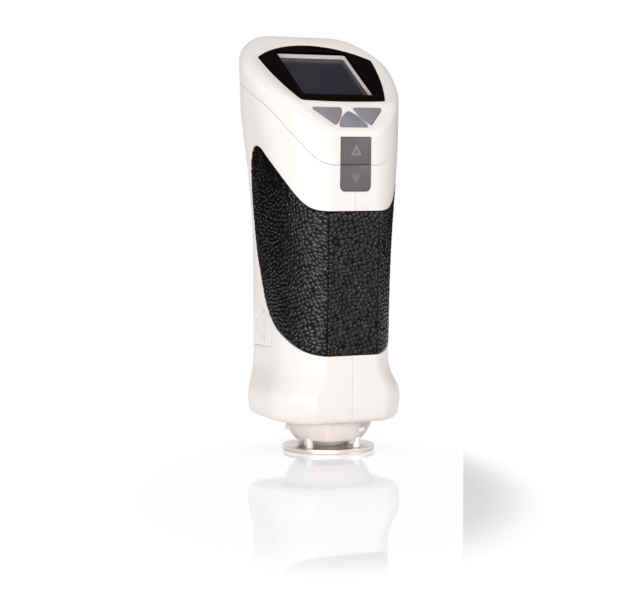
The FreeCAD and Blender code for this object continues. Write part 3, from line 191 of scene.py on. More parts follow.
class InstrumentStage(bpy.types.PropertyGroup):
    """Camera and lamps of the studio"""

    azimuth: number("Azimuth", -26.58, "Camera's turn from the front, in degrees")
    distance: length("Distance", 0.92181, "Camera's level distance from the instrument's axis")
    height: length("Height", 0.13566, "Camera's height above the floor")
    pitch: number("Pitch", 3.834, "How far the camera looks down, in degrees")
    offset: length("Offset", 0.00409, "How far the camera stands left of the instrument's axis")
    lens: number("Lens", 105.25, "Focal length in millimetres on 36 mm")
    key_power: power("Key lamp", 1.55, "Tall lamp at the left front")
    side_power: power("Side lamp", 4.6, "Broad lamp at the left")
    fill_power: power("Fill lamp", 2.9, "Lamp at the right")
    low_power: power("Low lamp", 1.2, "Flat lamp low in front")
    neck_power: power("Neck lamp", 0.006, "Narrow beam at the bowl")
    top_power: power("Top lamp", 2.0, "Lamp overhead")
    world: number("Surroundings", 0.48, "Light that the studio's walls give")


class InstrumentSettings(bpy.types.PropertyGroup):
    """All settings of the instrument"""

    leather: PointerProperty(type=InstrumentLeather)
    keys: PointerProperty(type=InstrumentKeys)
    colours: PointerProperty(type=InstrumentColours)
    stage: PointerProperty(type=InstrumentStage)


# Node groups that several finishes share


class Web:
    """Adds nodes to a shader tree and joins them."""

    def __init__(self, tree):
        self.tree = tree

    def fill(self, socket, value):
        """Join an output to a socket, or set the socket's plain value."""
        if isinstance(value, bpy.types.NodeSocket):
            self.tree.links.new(value, socket)
        else:
            socket.default_value = value

    def add(self, kind, traits=None, **inputs):
        """A node with its traits and inputs, where an underscore stands for a space."""
        node = self.tree.nodes.new("ShaderNode" + kind)
        for trait, value in (traits or {}).items():
            setattr(node, trait, value)
        for label, value in inputs.items():
            self.fill(node.inputs[label.replace("_", " ")], value)
        return node

    def chain(self, kind, traits, *values):
        """A node whose inputs are filled in their order."""
        node = self.add(kind, traits)
        for socket, value in zip(node.inputs, values):
            self.fill(socket, value)
        return node

    def math(self, operation, *values):
        """The result of a math node."""
        return self.chain("Math", {"operation": operation}, *values).outputs["Value"]

    def mix(self, share, first, second):
        """A colour between two colours."""
        return self.add("Mix", {"data_type": "RGBA"}, Factor=share, A=first, B=second).outputs["Result"]

    def ramp(self, value, interpolation="LINEAR", **ends):
        """A value carried from one range to another."""
        node = self.add("MapRange", {"interpolation_type": interpolation}, Value=value, **ends)
        return node.outputs["Result"]


def new_group(name, inputs, outputs):
    """A shader node group on coordinates: inputs hold a kind or a default number, outputs their kind."""
    group = bpy.data.node_groups.new(name, "ShaderNodeTree")
    for label, value in {"Coordinates": "Vector", **inputs}.items():
        kind = value if isinstance(value, str) else "Float"
        socket = group.interface.new_socket(label, in_out="INPUT", socket_type="NodeSocket" + kind)
        if kind == "Float":
            socket.default_value = value
    for label, kind in outputs.items():
        group.interface.new_socket(label, in_out="OUTPUT", socket_type="NodeSocket" + kind)
    return Web(group), group.nodes.new("NodeGroupInput").outputs, group.nodes.new("NodeGroupOutput").inputs


def fine_grain_group(name):
    """Fine moulded grain: a height for a bump and a mask, at a given number of grains a metre."""
    inputs = {"Scale": 2500.0, "Detail": 2.0}
    web, source, result = new_group(name, inputs, {"Height": "Float", "Mask": "Float"})
    place = {"Vector": source["Coordinates"], "Scale": source["Scale"]}
    noise = web.add("TexNoise", Detail=source["Detail"], **place).outputs["Fac"]
    cells = web.add("TexVoronoi", {"feature": "SMOOTH_F1"}, **place).outputs["Distance"]
    web.fill(result["Height"], web.math("MULTIPLY_ADD", cells, 0.5, noise))
    web.fill(result["Mask"], noise)
    return web.tree


def drift_group(name):
    """A slow change between two colours and between two roughness values over the surface."""
    inputs = {"Scale": 30.0, "Colour A": "Color", "Colour B": "Color", "Rough A": 0.3, "Rough B": 0.4}
    web, source, result = new_group(name, inputs, {"Colour": "Color", "Roughness": "Float"})
    noise = web.add("TexNoise", Vector=source["Coordinates"], Scale=source["Scale"], Detail=3.0)
    share = noise.outputs["Fac"]
    web.fill(result["Colour"], web.mix(share, source["Colour A"], source["Colour B"]))
    web.fill(result["Roughness"], web.ramp(share, To_Min=source["Rough A"], To_Max=source["Rough B"]))
    return web.tree


def turning_group(name):
    """Fine rings round the instrument's axis, as a lathe leaves them, with a little waviness."""
    web, source, result = new_group(name, {"Scale": 900.0}, {"Height": "Float"})
    rings = {"wave_type": "RINGS", "rings_direction": "Z"}
    place = {"Vector": source["Coordinates"], "Scale": source["Scale"]}
    waves = web.add("TexWave", rings, Distortion=0.6, Detail=3.0, **place)
    web.fill(result["Height"], waves.outputs["Fac"])
    return web.tree


def border_group(name):
    """A printed border round a rounded opening on a sloping pane: 0 inside it, 1 on the print."""
    inputs = {"Slope": "Vector", "Middle": 0.0, "Half width": 0.0, "Half height": 0.0, "Corner": 0.0}
    web, source, result = new_group(name, inputs, {"Mask": "Float"})
    split = web.add("SeparateXYZ", Vector=source["Coordinates"])
    rise = web.chain("VectorMath", {"operation": "DOT_PRODUCT"}, source["Coordinates"], source["Slope"])
    up = web.math("ABSOLUTE", web.math("SUBTRACT", rise.outputs["Value"], source["Middle"]))
    across = web.math("ABSOLUTE", split.outputs["X"])
    squares = []
    for place, half in ((up, "Half height"), (across, "Half width")):
        over = web.math("SUBTRACT", place, web.math("SUBTRACT", source[half], source["Corner"]))
        squares.append(web.math("POWER", web.math("MAXIMUM", over, 0.0), 2.0))
    reach = web.math("SQRT", web.math("ADD", *squares))
    web.fill(result["Mask"], web.math("GREATER_THAN", reach, source["Corner"]))
    return web.tree


GROUPS = {
    "fine grain": fine_grain_group,
    "tone drift": drift_group,
    "turning marks": turning_group,
    "printed border": border_group,
}


class Finish(Web):
    """One material: a principled surface with shared effects on it."""

    def __init__(self, name, rough=0.4, metallic=0.0):
        self.material = bpy.data.materials.new(name)
        self.material.use_nodes = True
        super().__init__(self.material.node_tree)
        self.surface = self.tree.nodes["Principled BSDF"]
        self.place = self.add("TexCoord").outputs["Object"]
        self.set(Roughness=rough, Metallic=metallic)

    def set(self, **values):
        """Set or join the surface's own sockets."""
        for label, value in values.items():
            self.fill(self.surface.inputs[label.replace("_", " ")], value)
        return self

    def group(self, name, **values):
        """Add a shared group, set its inputs and give back its outputs."""
        tree = bpy.data.node_groups.get(name) or GROUPS[name](name)
        return self.add("Group", {"node_tree": tree}, Coordinates=self.place, **values).outputs

    def drift(self, first, second, rough_a, rough_b, scale=30.0):
        """Let the colour and the gloss drift slowly over the surface."""
        tones = {"Colour_A": (*first, 1.0), "Colour_B": (*second, 1.0)}
        drift = self.group("tone drift", Scale=scale, Rough_A=rough_a, Rough_B=rough_b, **tones)
        return self.set(Base_Color=drift["Colour"], Roughness=drift["Roughness"])

    def bump(self, height, depth, strength=1.0):
        """Feed a height into the surface's normal."""
        node = self.add("Bump", Distance=depth, Strength=strength, Height=height)
        return self.set(Normal=node.outputs["Normal"])

    def grain(self, scale, depth, strength=1.0, detail=2.0):
        """Fine moulded grain as a bump."""
        return self.bump(self.group("fine grain", Scale=scale, Detail=detail)["Height"], depth, strength)

    def turned(self, scale):
        """Turning marks as a bump."""
        return self.bump(self.group("turning marks", Scale=scale)["Height"], 0.004 * MM)


def shade(values, factor):
    """A colour made darker or lighter by a factor."""
    return tuple(min(value * factor, 1.0) for value in values)


def plastic(name, base, rough=0.4, grain=2500.0, depth=0.01 * MM, drift=0.96):
    """Moulded plastic with fine grain and a slow drift of tone."""
    finish = Finish(name)
    finish.drift(base, shade(base, drift), rough - 0.04, rough + 0.05)
    finish.grain(grain, depth)
    return finish


def metal(name, base, rough=0.3, grain=1800.0):
    """Plated or drawn metal with fine grain."""
    finish = Finish(name, metallic=1.0)
    finish.drift(base, shade(base, 0.9), rough - 0.05, rough + 0.08)
    finish.grain(grain, 0.006 * MM)
    return finish


def shell_finish(name, colours):
    """Warm white semi-gloss plastic of the housing, with painted shade on the faces in the narrow joints
    between its mouldings.
    """
    finish = plastic(name, colours.shell, rough=0.34, grain=3200.0, depth=0.004 * MM, drift=0.985)
    tone = finish.surface.inputs["Base Color"].links[0].from_socket
    # painted shade: faces in the narrow joints are darkened where shade falls in the gaps
    joint = finish.add("Attribute", {"attribute_name": "joint"}).outputs["Fac"]
    return finish.set(Base_Color=finish.mix(joint, tone, (*colours.joint, 1.0)))


def leather_finish(name, colours):
    """Black leather: dull black valleys, and pebble tops with a waxed gloss and fine pores; the tops are
    painted a little lighter, partly as wear and partly as a painted highlight, which leaves the valleys
    darker as painted shade.
    """
    finish = Finish(name, 0.6)
    pebble = finish.add("Attribute", {"attribute_name": "pebble"}).outputs["Fac"]
    wax = finish.ramp(pebble, "SMOOTHSTEP", From_Min=0.15, From_Max=0.8, To_Min=0.04, To_Max=1.0)
    # lighter tops and darker valleys: partly wear, partly painted highlight and painted shade
    tone = finish.mix(pebble, (*colours.leather, 1.0), (*colours.leather_top, 1.0))
    finish.set(Base_Color=tone, Coat_Weight=wax)
    finish.set(Specular_IOR_Level=0.05, Coat_Roughness=0.22, Coat_IOR=1.48)
    return finish.grain(2600.0, 0.03 * MM, 0.4, 3.0)


def optic_finish(name, _colours, tint=(0.6, 0.65, 0.66)):
    """Clear glass of the port and the lens: mostly see-through, with a sharp reflection."""
    finish = Finish(name)
    finish.drift(tint, shade(tint, 0.9), 0.03, 0.06)
    return finish.set(Alpha=0.35, Specular_IOR_Level=0.2)


def pane_finish(name, colours):
    """Clear pane with a black border printed round the screen."""
    finish = Finish(name)
    slope = math.radians(SLOPE_ANGLE)
    rise = Vector((0, math.cos(slope), math.sin(slope)))
    print_mask = finish.group(
        "printed border",
        Slope=rise,
        Middle=rise.dot(SLOPE_FOOT) + (SCREEN_LOW + SCREEN_HIGH) / 2,
        Half_width=SCREEN_HALF,
        Half_height=(SCREEN_HIGH - SCREEN_LOW) / 2,
        Corner=SCREEN_CORNER,
    )["Mask"]
    finish.drift(colours.mask, shade(colours.mask, 0.85), 0.05, 0.09)
    return finish.set(Alpha=finish.ramp(print_mask, To_Min=0.02, To_Max=1.0), Specular_IOR_Level=0.03)


def mask_finish(name, colours):
    """Glossy near-black print behind the pane."""
    finish = plastic(name, colours.mask, rough=0.2, grain=6000.0, depth=0.001 * MM)
    return finish.set(Specular_IOR_Level=0.03)


def screen_finish(name, colours):
    """Dark screen with its fine grid of cells."""
    finish = Finish(name, 0.25)
    pitch = 0.3 * MM
    cells = finish.add(
        "TexBrick",
        {"offset": 0.0},
        Vector=finish.place,
        Scale=1.0,
        Brick_Width=pitch,
        Row_Height=pitch,
        Mortar_Size=0.02 * MM,
        Color1=(*colours.screen, 1.0),
        Color2=(*shade(colours.screen, 0.94), 1.0),
        Mortar=(*shade(colours.screen, 0.6), 1.0),
    )
    return finish.set(Base_Color=cells.outputs["Color"]).grain(900.0, 0.002 * MM)


def plate_finish(name, colours):
    """Satin metal plate with turning marks."""
    finish = Finish(name, metallic=1.0)
    return finish.drift(colours.plate, shade(colours.plate, 0.9), 0.22, 0.32, 60.0).turned(700.0)


def ring_finish(name, _colours):
    """Bright turned ring round the port's glass."""
    finish = Finish(name, metallic=1.0)
    return finish.drift((0.74, 0.73, 0.72), (0.66, 0.65, 0.64), 0.2, 0.3, 80.0).turned(1200.0)


# Plastics by slot: colour or its setting, roughness, grains a metre and the grain's depth
PLASTICS = {
    "key_grey": ("small_key", 0.42, 3000.0, 0.006 * MM),
    "arrow_grey": ("arrow_key", 0.45, 3000.0, 0.006 * MM),
    "arrow_print": ("arrow", 0.5, 4000.0, 0.002 * MM),
    "arrow_outline": ("arrow_edge", 0.5, 4000.0, 0.002 * MM),
    "screen_frame": ("screen_frame", 0.4),
    "white_bowl": ("bowl", 0.42, 2200.0, 0.006 * MM),
    "board_green": ((0.02, 0.12, 0.045), 0.3, 1200.0),
    "white_post": ((0.78, 0.75, 0.72), 0.36),
    "black_part": ((0.018, 0.018, 0.02), 0.42, 1500.0),
    "rubber_mat": ((0.07, 0.07, 0.075), 0.65, 1500.0),
    "lamp_clear": ((0.75, 0.75, 0.7), 0.12, 4000.0, 0.001 * MM),
    "chassis_grey": ((0.12, 0.12, 0.125), 0.5, 1500.0),
    "battery_wrap": ((0.03, 0.07, 0.22), 0.3, 1500.0),
    "foil_orange": ((0.4, 0.17, 0.03), 0.35, 1500.0),
}

# Metals by slot: colour and roughness
METALS = {
    "screw_steel": ((0.55, 0.55, 0.55),),
    "tube_black": ((0.03, 0.03, 0.032), 0.38),
    "contact_brass": ((0.68, 0.5, 0.2),),
    "port_steel": ((0.58, 0.58, 0.6),),
}

# Finishes of their own by slot
FINISHES = {
    "white_shell": shell_finish,
    "battery_lid": shell_finish,
    "leather": leather_finish,
    "window_glass": pane_finish,
    "window_mask": mask_finish,
    "screen": screen_finish,
    "plate_metal": plate_finish,
    "ring_metal": ring_finish,
    "optic_glass": optic_finish,
}


def finish_for(slot):
    """The material of a slot, made when it is first asked for."""
    name = "finish " + slot
    found = bpy.data.materials.get(name)
    if found:
        return found
    colours = bpy.context.scene.instrument.colours
    if slot in PLASTICS:
        base, *traits = PLASTICS[slot]
        base = getattr(colours, base) if isinstance(base, str) else base
        return plastic(name, base, *traits).material
    if slot in METALS:
        return metal(name, *METALS[slot]).material
    return FINISHES[slot](name, colours).material


# Modelling helpers


def heading(turn, rise=0.0):
    """A unit direction that is turned from the front and raised, both in radians."""
    return Vector((math.sin(turn) * math.cos(rise), -math.cos(turn) * math.cos(rise), math.sin(rise)))


def start_clean():
    """Leave edit mode and select nothing."""
    if bpy.context.object and bpy.context.object.mode != "OBJECT":
        bpy.ops.object.mode_set(mode="OBJECT")
    bpy.ops.object.select_all(action="DESELECT")


def pick(piece):
    """Make a piece the only selected and the active one."""
    start_clean()
    piece.select_set(True)
    bpy.context.view_layer.objects.active = piece
    return piece


def edit(piece, *steps):
    """Run steps in edit mode, with all of a piece selected at the start."""
    pick(piece)
    bpy.ops.object.mode_set(mode="EDIT")
    bpy.ops.mesh.select_all(action="SELECT")
    for step in steps:
        step()
    bpy.ops.object.mode_set(mode="OBJECT")
    return piece


def face_outwards():
    """Turn the selected faces outwards."""
    bpy.ops.mesh.normals_make_consistent(inside=False)


def apply_modifiers(piece):
    """Apply every modifier of a piece in order."""
    pick(piece)
    for modifier in list(piece.modifiers):
        bpy.ops.object.modifier_apply(modifier=modifier.name)


def settle(piece, node, slot=None, stands_for=True):
    """Give a finished piece its material and its body, and hide the node that it stands for when it stands
    for one.
    """
    pick(piece)
    bpy.ops.object.transform_apply(location=True, rotation=True, scale=True)
    slot = slot or SLOT_OF[node]
    piece.data.materials.clear()
    piece.data.materials.append(finish_for(slot))
    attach(piece, BODY_OF[node])
    if stands_for:
        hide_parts(node)
    return piece


def dress(node):
    """Give a CAD node that is shown as it is its finish."""
    NODES[node].material_slots[0].material = finish_for(SLOT_OF[node])


def softened(node, radius=None, flatten=True):
    """A copy of a CAD node with its sharp edges rounded, as a mould leaves them."""
    piece = bpy.data.objects.new(node + "_soft", NODES[node].data.copy())
    bpy.context.scene.collection.objects.link(piece)
    pick(piece)
    bpy.ops.mesh.customdata_custom_splitnormals_clear()
    edit(piece, lambda: bpy.ops.mesh.remove_doubles(threshold=WELD))
    if flatten:
        edit(piece, lambda: bpy.ops.mesh.dissolve_limited(angle_limit=FLAT_ANGLE))
    bevel = piece.modifiers.new("edge", "BEVEL")
    bevel.width = radius or EDGES[node]
    bevel.segments = 2
    bevel.limit_method = "ANGLE"
    bevel.angle_limit = EDGE_ANGLE
    bevel.use_clamp_overlap = True
    apply_modifiers(piece)
    bpy.ops.object.shade_smooth_by_angle(angle=SMOOTH_ANGLE)
    return settle(piece, node)


# Leather


def cad_mesh(node):
    """A CAD node's mesh with its loose triangles joined."""
    mesh = bmesh.new()
    mesh.from_mesh(NODES[node].data)
    bmesh.ops.remove_doubles(mesh, verts=mesh.verts, dist=WELD)
    return mesh


def cad_tree(node):
    """A ray caster over a CAD node."""
    mesh = cad_mesh(node)
    tree = BVHTree.FromBMesh(mesh)
    mesh.free()
    return tree


class Grip:
    """The outer surface and the outline of the leather grip, read from its CAD node.

    The right side is read, and the left side is its mirror image.
    """

    centre_y = -4 * MM
    reach = 80 * MM
    rim_angle = math.radians(50)
    level_count = 140
    angles = np.radians(np.linspace(20.0, 135.0, 160))
    width_count = 12

    def __init__(self, crease):
        self.crease = crease
        mesh = cad_mesh("leather_grip")
        self.tree = BVHTree.FromBMesh(mesh)
        low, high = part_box("leather_grip")
        self.low_z, self.high_z = low.z, high.z
        rim = {
            vert
            for edge in mesh.edges
            if len(edge.link_faces) == 2 and edge.calc_face_angle() > self.rim_angle
            for vert in edge.verts
            if vert.co.x > 0
        }
        points = sorted((vert.co.y, vert.co.z) for vert in rim)
        tip_y, tip_z = self.tip_y, self.tip_z = points[-1]
        front_y = points[0][0]
        middle = (self.low_z + min(z for y, z in points if y < front_y + MM and z > 80 * MM)) / 2
        lower, upper = [], []
        for y, z in points:
            divide = middle + (tip_z - middle) * (y - front_y) / (tip_y - front_y)
            (upper if z > divide else lower).append((y, z))
        self.lower = np.array(lower)
        self.upper = np.array(upper)
        mesh.free()
        self.levels = np.linspace(self.low_z, self.high_z, self.level_count)
        self.widths = np.linspace(0.0, self.crease * 1.2, self.width_count)
        self.radii = self.table(self.polar_hit, self.angles)
        self.depths = self.table(self.front_hit, self.widths)
        self.tip_angle = self.find_tip()

    def table(self, hit, places):
        """What a ray caster finds at places and levels, carried on past the leather's edges."""
        return self.fill(np.array([[hit(place, z) for z in self.levels] for place in places]))

    def polar_hit(self, angle, z):
        """Distance of the outer surface from the middle, at an angle from the front."""
        out = heading(angle)
        start = Vector((0, self.centre_y, z)) + out * self.reach
        hit = self.tree.ray_cast(start, -out, self.reach)[0]
        return math.nan if hit is None else (hit - Vector((0, self.centre_y, z))).length

    def front_hit(self, x, z):
        """Depth of the front surface at a place across."""
        hit = self.tree.ray_cast(Vector((x, -self.reach, z)), Vector((0, 1, 0)), self.reach)[0]
        return math.nan if hit is None else hit.y

    def fill(self, rows):
        """Carry each row on past the leather's edges in a straight line."""
        steps = np.arange(rows.shape[1])
        for row in rows:
            good = np.flatnonzero(~np.isnan(row))
            if len(good) < 6:
                continue
            first, last = good[1], good[-2]
            row[:] = np.interp(steps, good, row[good])
            row[:first] = row[first] - (first - steps[:first]) * (row[first + 3] - row[first]) / 3
            row[last:] = row[last] + (steps[last:] - last) * (row[last] - row[last - 3]) / 3
        good_rows = np.flatnonzero(~np.isnan(rows).any(axis=1))
        for index in range(len(rows)):
            if index not in good_rows:
                rows[index] = rows[good_rows[np.abs(good_rows - index).argmin()]]
        return rows

    def look_up(self, table, places, place, z):
        """Bilinear reading of a table over places and levels."""
        a = np.clip((place - places[0]) / (places[1] - places[0]), 0, len(places) - 1.001)
        b = np.clip((z - self.levels[0]) / (self.levels[1] - self.levels[0]), 0, len(self.levels) - 1.001)
        i, j = a.astype(int), b.astype(int)
        u, v = a - i, b - j
        return (
            table[i, j] * (1 - u) * (1 - v)
            + table[i + 1, j] * u * (1 - v)
            + table[i, j + 1] * (1 - u) * v
            + table[i + 1, j + 1] * u * v
        )

    def side_point(self, share, z):
        """Points on the right side: share 0 at the crease, 1 at the outline's rearmost place."""
        front = self.look_up(self.depths, self.widths, np.full_like(z, self.crease), z)
        start = np.arctan2(self.crease, self.centre_y - front)
        angle = start + (self.tip_angle - start) * share
        radius = self.look_up(self.radii, self.angles, angle, z)
        return np.stack([np.sin(angle) * radius, self.centre_y - np.cos(angle) * radius, z], axis=-1)

    def front_point(self, places, z):
        """Points on the front panel at places across."""
        depth = self.look_up(self.depths, self.widths, np.abs(places), z)
        return np.stack([places, depth, z], axis=-1)

    def find_tip(self):
        """The angle at which the surface reaches the outline's rearmost place."""
        level = np.full(len(self.angles), self.tip_z)
        radius = self.look_up(self.radii, self.angles, self.angles, level)
        depth = self.centre_y - np.cos(self.angles) * radius
        return float(np.interp(self.tip_y, depth, self.angles))

    def span(self, point, places):
        """The leather's lowest and highest level at places, where point gives the surface."""
        ends = []
        for curve, start in ((self.lower, self.low_z), (self.upper, self.high_z)):
            z = np.full(len(places), (start + self.tip_z) / 2)
            for _ in range(30):
                depth = point(places, z)[..., 1]
                z = z + 0.6 * (np.interp(depth, curve[:, 0], curve[:, 1]) - z)
            ends.append(z)
        return ends


def waver(first, first_wave, second, second_wave, bend):
    """A wave along one way, bent by a wave along the other, with their lengths in millimetres."""
    return np.sin(first / (first_wave * MM) + bend * np.sin(second / (second_wave * MM)))


def pebbles(across, up, settings, seed):
    """Heights from 0 to 1 of a pebbled grain at places across and up the leather."""
    random = np.random.RandomState(seed)
    jitter = random.rand(JITTER_SIZE, JITTER_SIZE, 3)
    # the grain drifts and leans, as on a real hide
    drift = waver(up, 11, across, 17, 1.3) * 1.1 * MM
    sway = waver(across, 9, up, 13, 1.7) * 1.1 * MM
    curl = waver(across, 1.9, up, 3.1, 2.3) * 0.28 * MM
    twist = waver(up, 1.7, across, 2.7, 2.1) * 0.28 * MM
    a = (across + drift + 0.35 * up + curl) / settings.pebble_width
    b = (up + sway - 0.22 * across + twist) / settings.pebble_height
    cell_a, cell_b = np.floor(a).astype(int), np.floor(b).astype(int)
    nearest = np.full(a.shape, 9.0)
    second = np.full(a.shape, 9.0)
    tone = np.zeros(a.shape)
    for step_a in (-1, 0, 1):
        for step_b in (-1, 0, 1):
            i, j = (cell_a + step_a) % JITTER_SIZE, (cell_b + step_b) % JITTER_SIZE
            seed_a = cell_a + step_a + 0.12 + 0.76 * jitter[i, j, 0]
            seed_b = cell_b + step_b + 0.12 + 0.76 * jitter[i, j, 1]
            distance = np.hypot(a - seed_a, b - seed_b)
            closer = distance < nearest
            second = np.where(closer, nearest, np.minimum(second, distance))
            tone = np.where(closer, jitter[i, j, 2], tone)
            nearest = np.where(closer, distance, nearest)
    valley = np.clip((second - nearest) / 0.46, 0, 1)
    dome = valley * valley * (3 - 2 * valley)
    # some neighbouring pebbles run together
    joined = 0.5 + 0.5 * np.sin(across / (1.3 * MM) + 1.9 * np.sin(up / (2.3 * MM) + across / (4.1 * MM)))
    dome = 1 - (1 - dome) * (0.6 + 0.4 * joined)
    crown = np.clip(1 - nearest * nearest * 1.3, 0, 1)
    return dome * (0.2 + 0.8 * crown) * (0.72 + 0.28 * tone)


def rolled(distance, radius):
    """How far the surface lies under its flat level at a distance from a rolled edge."""
    inside = np.clip(1 - distance / radius, 0, 1)
    return radius * (1 - np.sqrt(np.clip(1 - inside * inside, 0, 1)))


def grid_normals(points):
    """Unit normals of a grid of points, pointing left of up crossed with along."""
    along = np.gradient(points, axis=0)
    up = np.gradient(points, axis=1)
    normals = np.cross(along, up)
    size = np.linalg.norm(normals, axis=-1, keepdims=True)
    return normals / np.maximum(size, 1e-12)


def grid_sheet(name, points, heights):
    """A sheet with a point for each row and column, its heights kept as an attribute."""
    columns, rows = points.shape[:2]
    start_clean()
    bpy.ops.mesh.primitive_grid_add(x_subdivisions=rows - 1, y_subdivisions=columns - 1)
    piece = bpy.context.object
    piece.name = name
    piece.data.name = name
    piece.data.vertices.foreach_set("co", points.reshape(-1))
    attribute = piece.data.attributes.new("pebble", "FLOAT", "POINT")
    attribute.data.foreach_set("value", heights.astype(np.float32).reshape(-1))
    piece.data.update()
    return piece


def give_body(piece, thickness):
    """Give a leather sheet its thickness, with few faces on the hidden side."""
    piece.vertex_groups.new(name="inner")
    solid = piece.modifiers.new("thickness", "SOLIDIFY")
    solid.thickness = thickness
    solid.offset = -1
    solid.shell_vertex_group = "inner"
    apply_modifiers(piece)
    thin = piece.modifiers.new("thin out", "DECIMATE")
    thin.ratio = 0.62
    thin.vertex_group = "inner"
    apply_modifiers(piece)
    piece.vertex_groups.clear()
    bpy.ops.object.shade_smooth_by_angle(angle=LEATHER_ANGLE)
    return piece


def cut_button_hole(piece, centre, radius):
    """Move the points beside the button's edge onto it and delete what lies inside."""
    mesh = bmesh.new()
    mesh.from_mesh(piece.data)
    step = bpy.context.scene.instrument.leather.mesh_step
    doomed = []
    for vert in mesh.verts:
        away = Vector((0, vert.co.y, vert.co.z)) - centre
        distance = away.length
        if distance < radius - step * 0.6:
            doomed.append(vert)
        elif distance < radius + step * 0.6:
            shift = away * (radius / distance - 1)
            vert.co += shift
    bmesh.ops.delete(mesh, geom=doomed, context="VERTS")
    mesh.to_mesh(piece.data)
    mesh.free()


def leather_panel(name, grip, point, places, mirror, settings, seed):
    """One panel of the grip between its creases, pebbled and rolled at its edges."""
    low, high = grip.span(point, places)
    rows = int((grip.high_z - grip.low_z) / settings.mesh_step)
    shares = np.linspace(0, 1, rows)
    base = np.stack([point(places, low + (high - low) * share) for share in shares], axis=1)
    steps = np.linalg.norm(np.diff(base, axis=0), axis=-1)
    along = np.concatenate([np.zeros((1, rows)), np.cumsum(steps, axis=0)])
    level = base[..., 2]
    # distance from the outline, measured square to it
    slope_low = np.gradient(low) / np.maximum(np.gradient(along[:, 0]), 1e-7)
    slope_high = np.gradient(high) / np.maximum(np.gradient(along[:, -1]), 1e-7)
    below = (level - low[:, None]) / np.hypot(1, slope_low)[:, None]
    above = (high[:, None] - level) / np.hypot(1, slope_high)[:, None]
    outline = np.minimum(below, above)
    front = point == grip.front_point
    crease = np.minimum(along, along[-1:] - along) if front else along
    across = along - (grip.crease if front else -grip.crease)
    if mirror:
        across = -across
    height = pebbles(across, level, settings, seed)
    calm = np.clip(np.minimum(outline / settings.edge_roll, crease / settings.crease_roll + 0.2), 0.2, 1)
    height = height * calm
    lift = (height - PEBBLE_LEVEL) * settings.pebble_depth
    lift -= np.minimum(rolled(outline, settings.edge_roll), DEEPEST_ROLL)
    dip = np.clip(1 - crease / settings.crease_roll, 0, 1)
    lift -= settings.crease_depth * dip * dip
    points = base + grid_normals(base) * lift[..., None]
    if mirror:
        points[..., 0] *= -1
    piece = grid_sheet(name, points, height)
    return edit(piece, bpy.ops.mesh.flip_normals) if mirror else piece


# Operators


class INSTRUMENT_OT_shell(bpy.types.Operator):
    """Finish the housing halves, the display cover and the battery cover"""

    bl_idname = "instrument.shell"
    bl_label = "Shell"

    def execute(self, context):
        softened("battery_cover", flatten=False)
        mouldings = ("left_housing", "right_housing", "top_cover")
        trees = {node: cad_tree(node) for node in mouldings}
        for node in mouldings:
            piece = softened(node, flatten=False)
            self.mark_joints(piece, [tree for other, tree in trees.items() if other != node])
        return {"FINISHED"}

    def mark_joints(self, piece, neighbours, gap=0.9 * MM):
        """Mark the faces that look at a neighbouring moulding across a narrow gap, where the painted shade
        goes.
        """
        marks = []
        for face in piece.data.polygons:
            start = face.center + face.normal * 0.005 * MM
            near = any(tree.ray_cast(start, face.normal, gap)[0] for tree in neighbours)
            marks.append(1.0 if near and abs(face.center.x) > 1.5 * MM else 0.0)
        attribute = piece.data.attributes.new("joint", "FLOAT", "FACE")
        attribute.data.foreach_set("value", marks)


class INSTRUMENT_OT_leather(bpy.types.Operator):
    """Model the pebbled leather of the grip and of the measuring button"""

    bl_idname = "instrument.leather"
    bl_label = "Leather"

    def execute(self, context):
        settings = context.scene.instrument.leather
        grip = Grip(settings.crease_half)
        step = settings.mesh_step
        low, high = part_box("button_facing")
        centre = Vector((0, (low.y + high.y) / 2, (low.z + high.z) / 2))
        radius = (high.z - low.z) / 2
        # the columns of a side panel are close together towards the rear tip
        shares = np.sin(np.linspace(0, math.pi / 2, int(SIDE_REACH / step))) * 0.9995
        across = np.linspace(-grip.crease, grip.crease, int(2 * settings.crease_half / step))
        panels = (
            ("leather_left", grip.side_point, shares, True, 12),
            ("leather_right", grip.side_point, shares, False, 11),
            ("leather_front", grip.front_point, across, False, 14),
        )
        for name, point, places, mirror, seed in panels:
            piece = leather_panel(name, grip, point, places, mirror, settings, seed)
            if mirror:
                cut_button_hole(piece, centre, radius + BUTTON_GAP)
            give_body(piece, settings.thickness)
            settle(piece, "leather_grip")
        self.button(centre, radius, settings)
        return {"FINISHED"}

    def button(self, centre, radius, settings):
        """The leather facing of the measuring button, a pebbled disc with a rolled edge."""
        tree = cad_tree("button_facing")
        rings = int(radius / settings.mesh_step)
        spokes = int(2 * math.pi * radius / settings.mesh_step)
        edge = radius - BUTTON_GAP
        angle = np.linspace(0, 2 * math.pi, spokes + 1)
        spread = np.linspace(0.004, 1.0, rings) * edge
        y = centre.y + np.outer(np.cos(angle), spread)
        z = centre.z + np.outer(np.sin(angle), spread)
        x = np.zeros_like(y)
        for index in np.ndindex(y.shape):
            start = Vector((-0.1, y[index], z[index]))
            x[index] = tree.ray_cast(start, Vector((1, 0, 0)), 0.2)[0].x
        base = np.stack([x, y, z], axis=-1)
        height = pebbles(y, z, settings, 23)
        distance = edge - np.broadcast_to(spread, y.shape)
        lift = (height - PEBBLE_LEVEL) * settings.pebble_depth - rolled(distance, 0.2 * MM)
        normals = grid_normals(base)
        normals *= -np.sign(normals[..., :1])
        points = base + normals * lift[..., None]
        piece = grid_sheet("button_leather", points, height)
        edit(piece, lambda: bpy.ops.mesh.remove_doubles(threshold=0.03 * MM), face_outwards)
        if piece.data.polygons[0].normal.x > 0:
            edit(piece, bpy.ops.mesh.flip_normals)
        give_body(piece, settings.thickness)
        settle(piece, "button_facing")


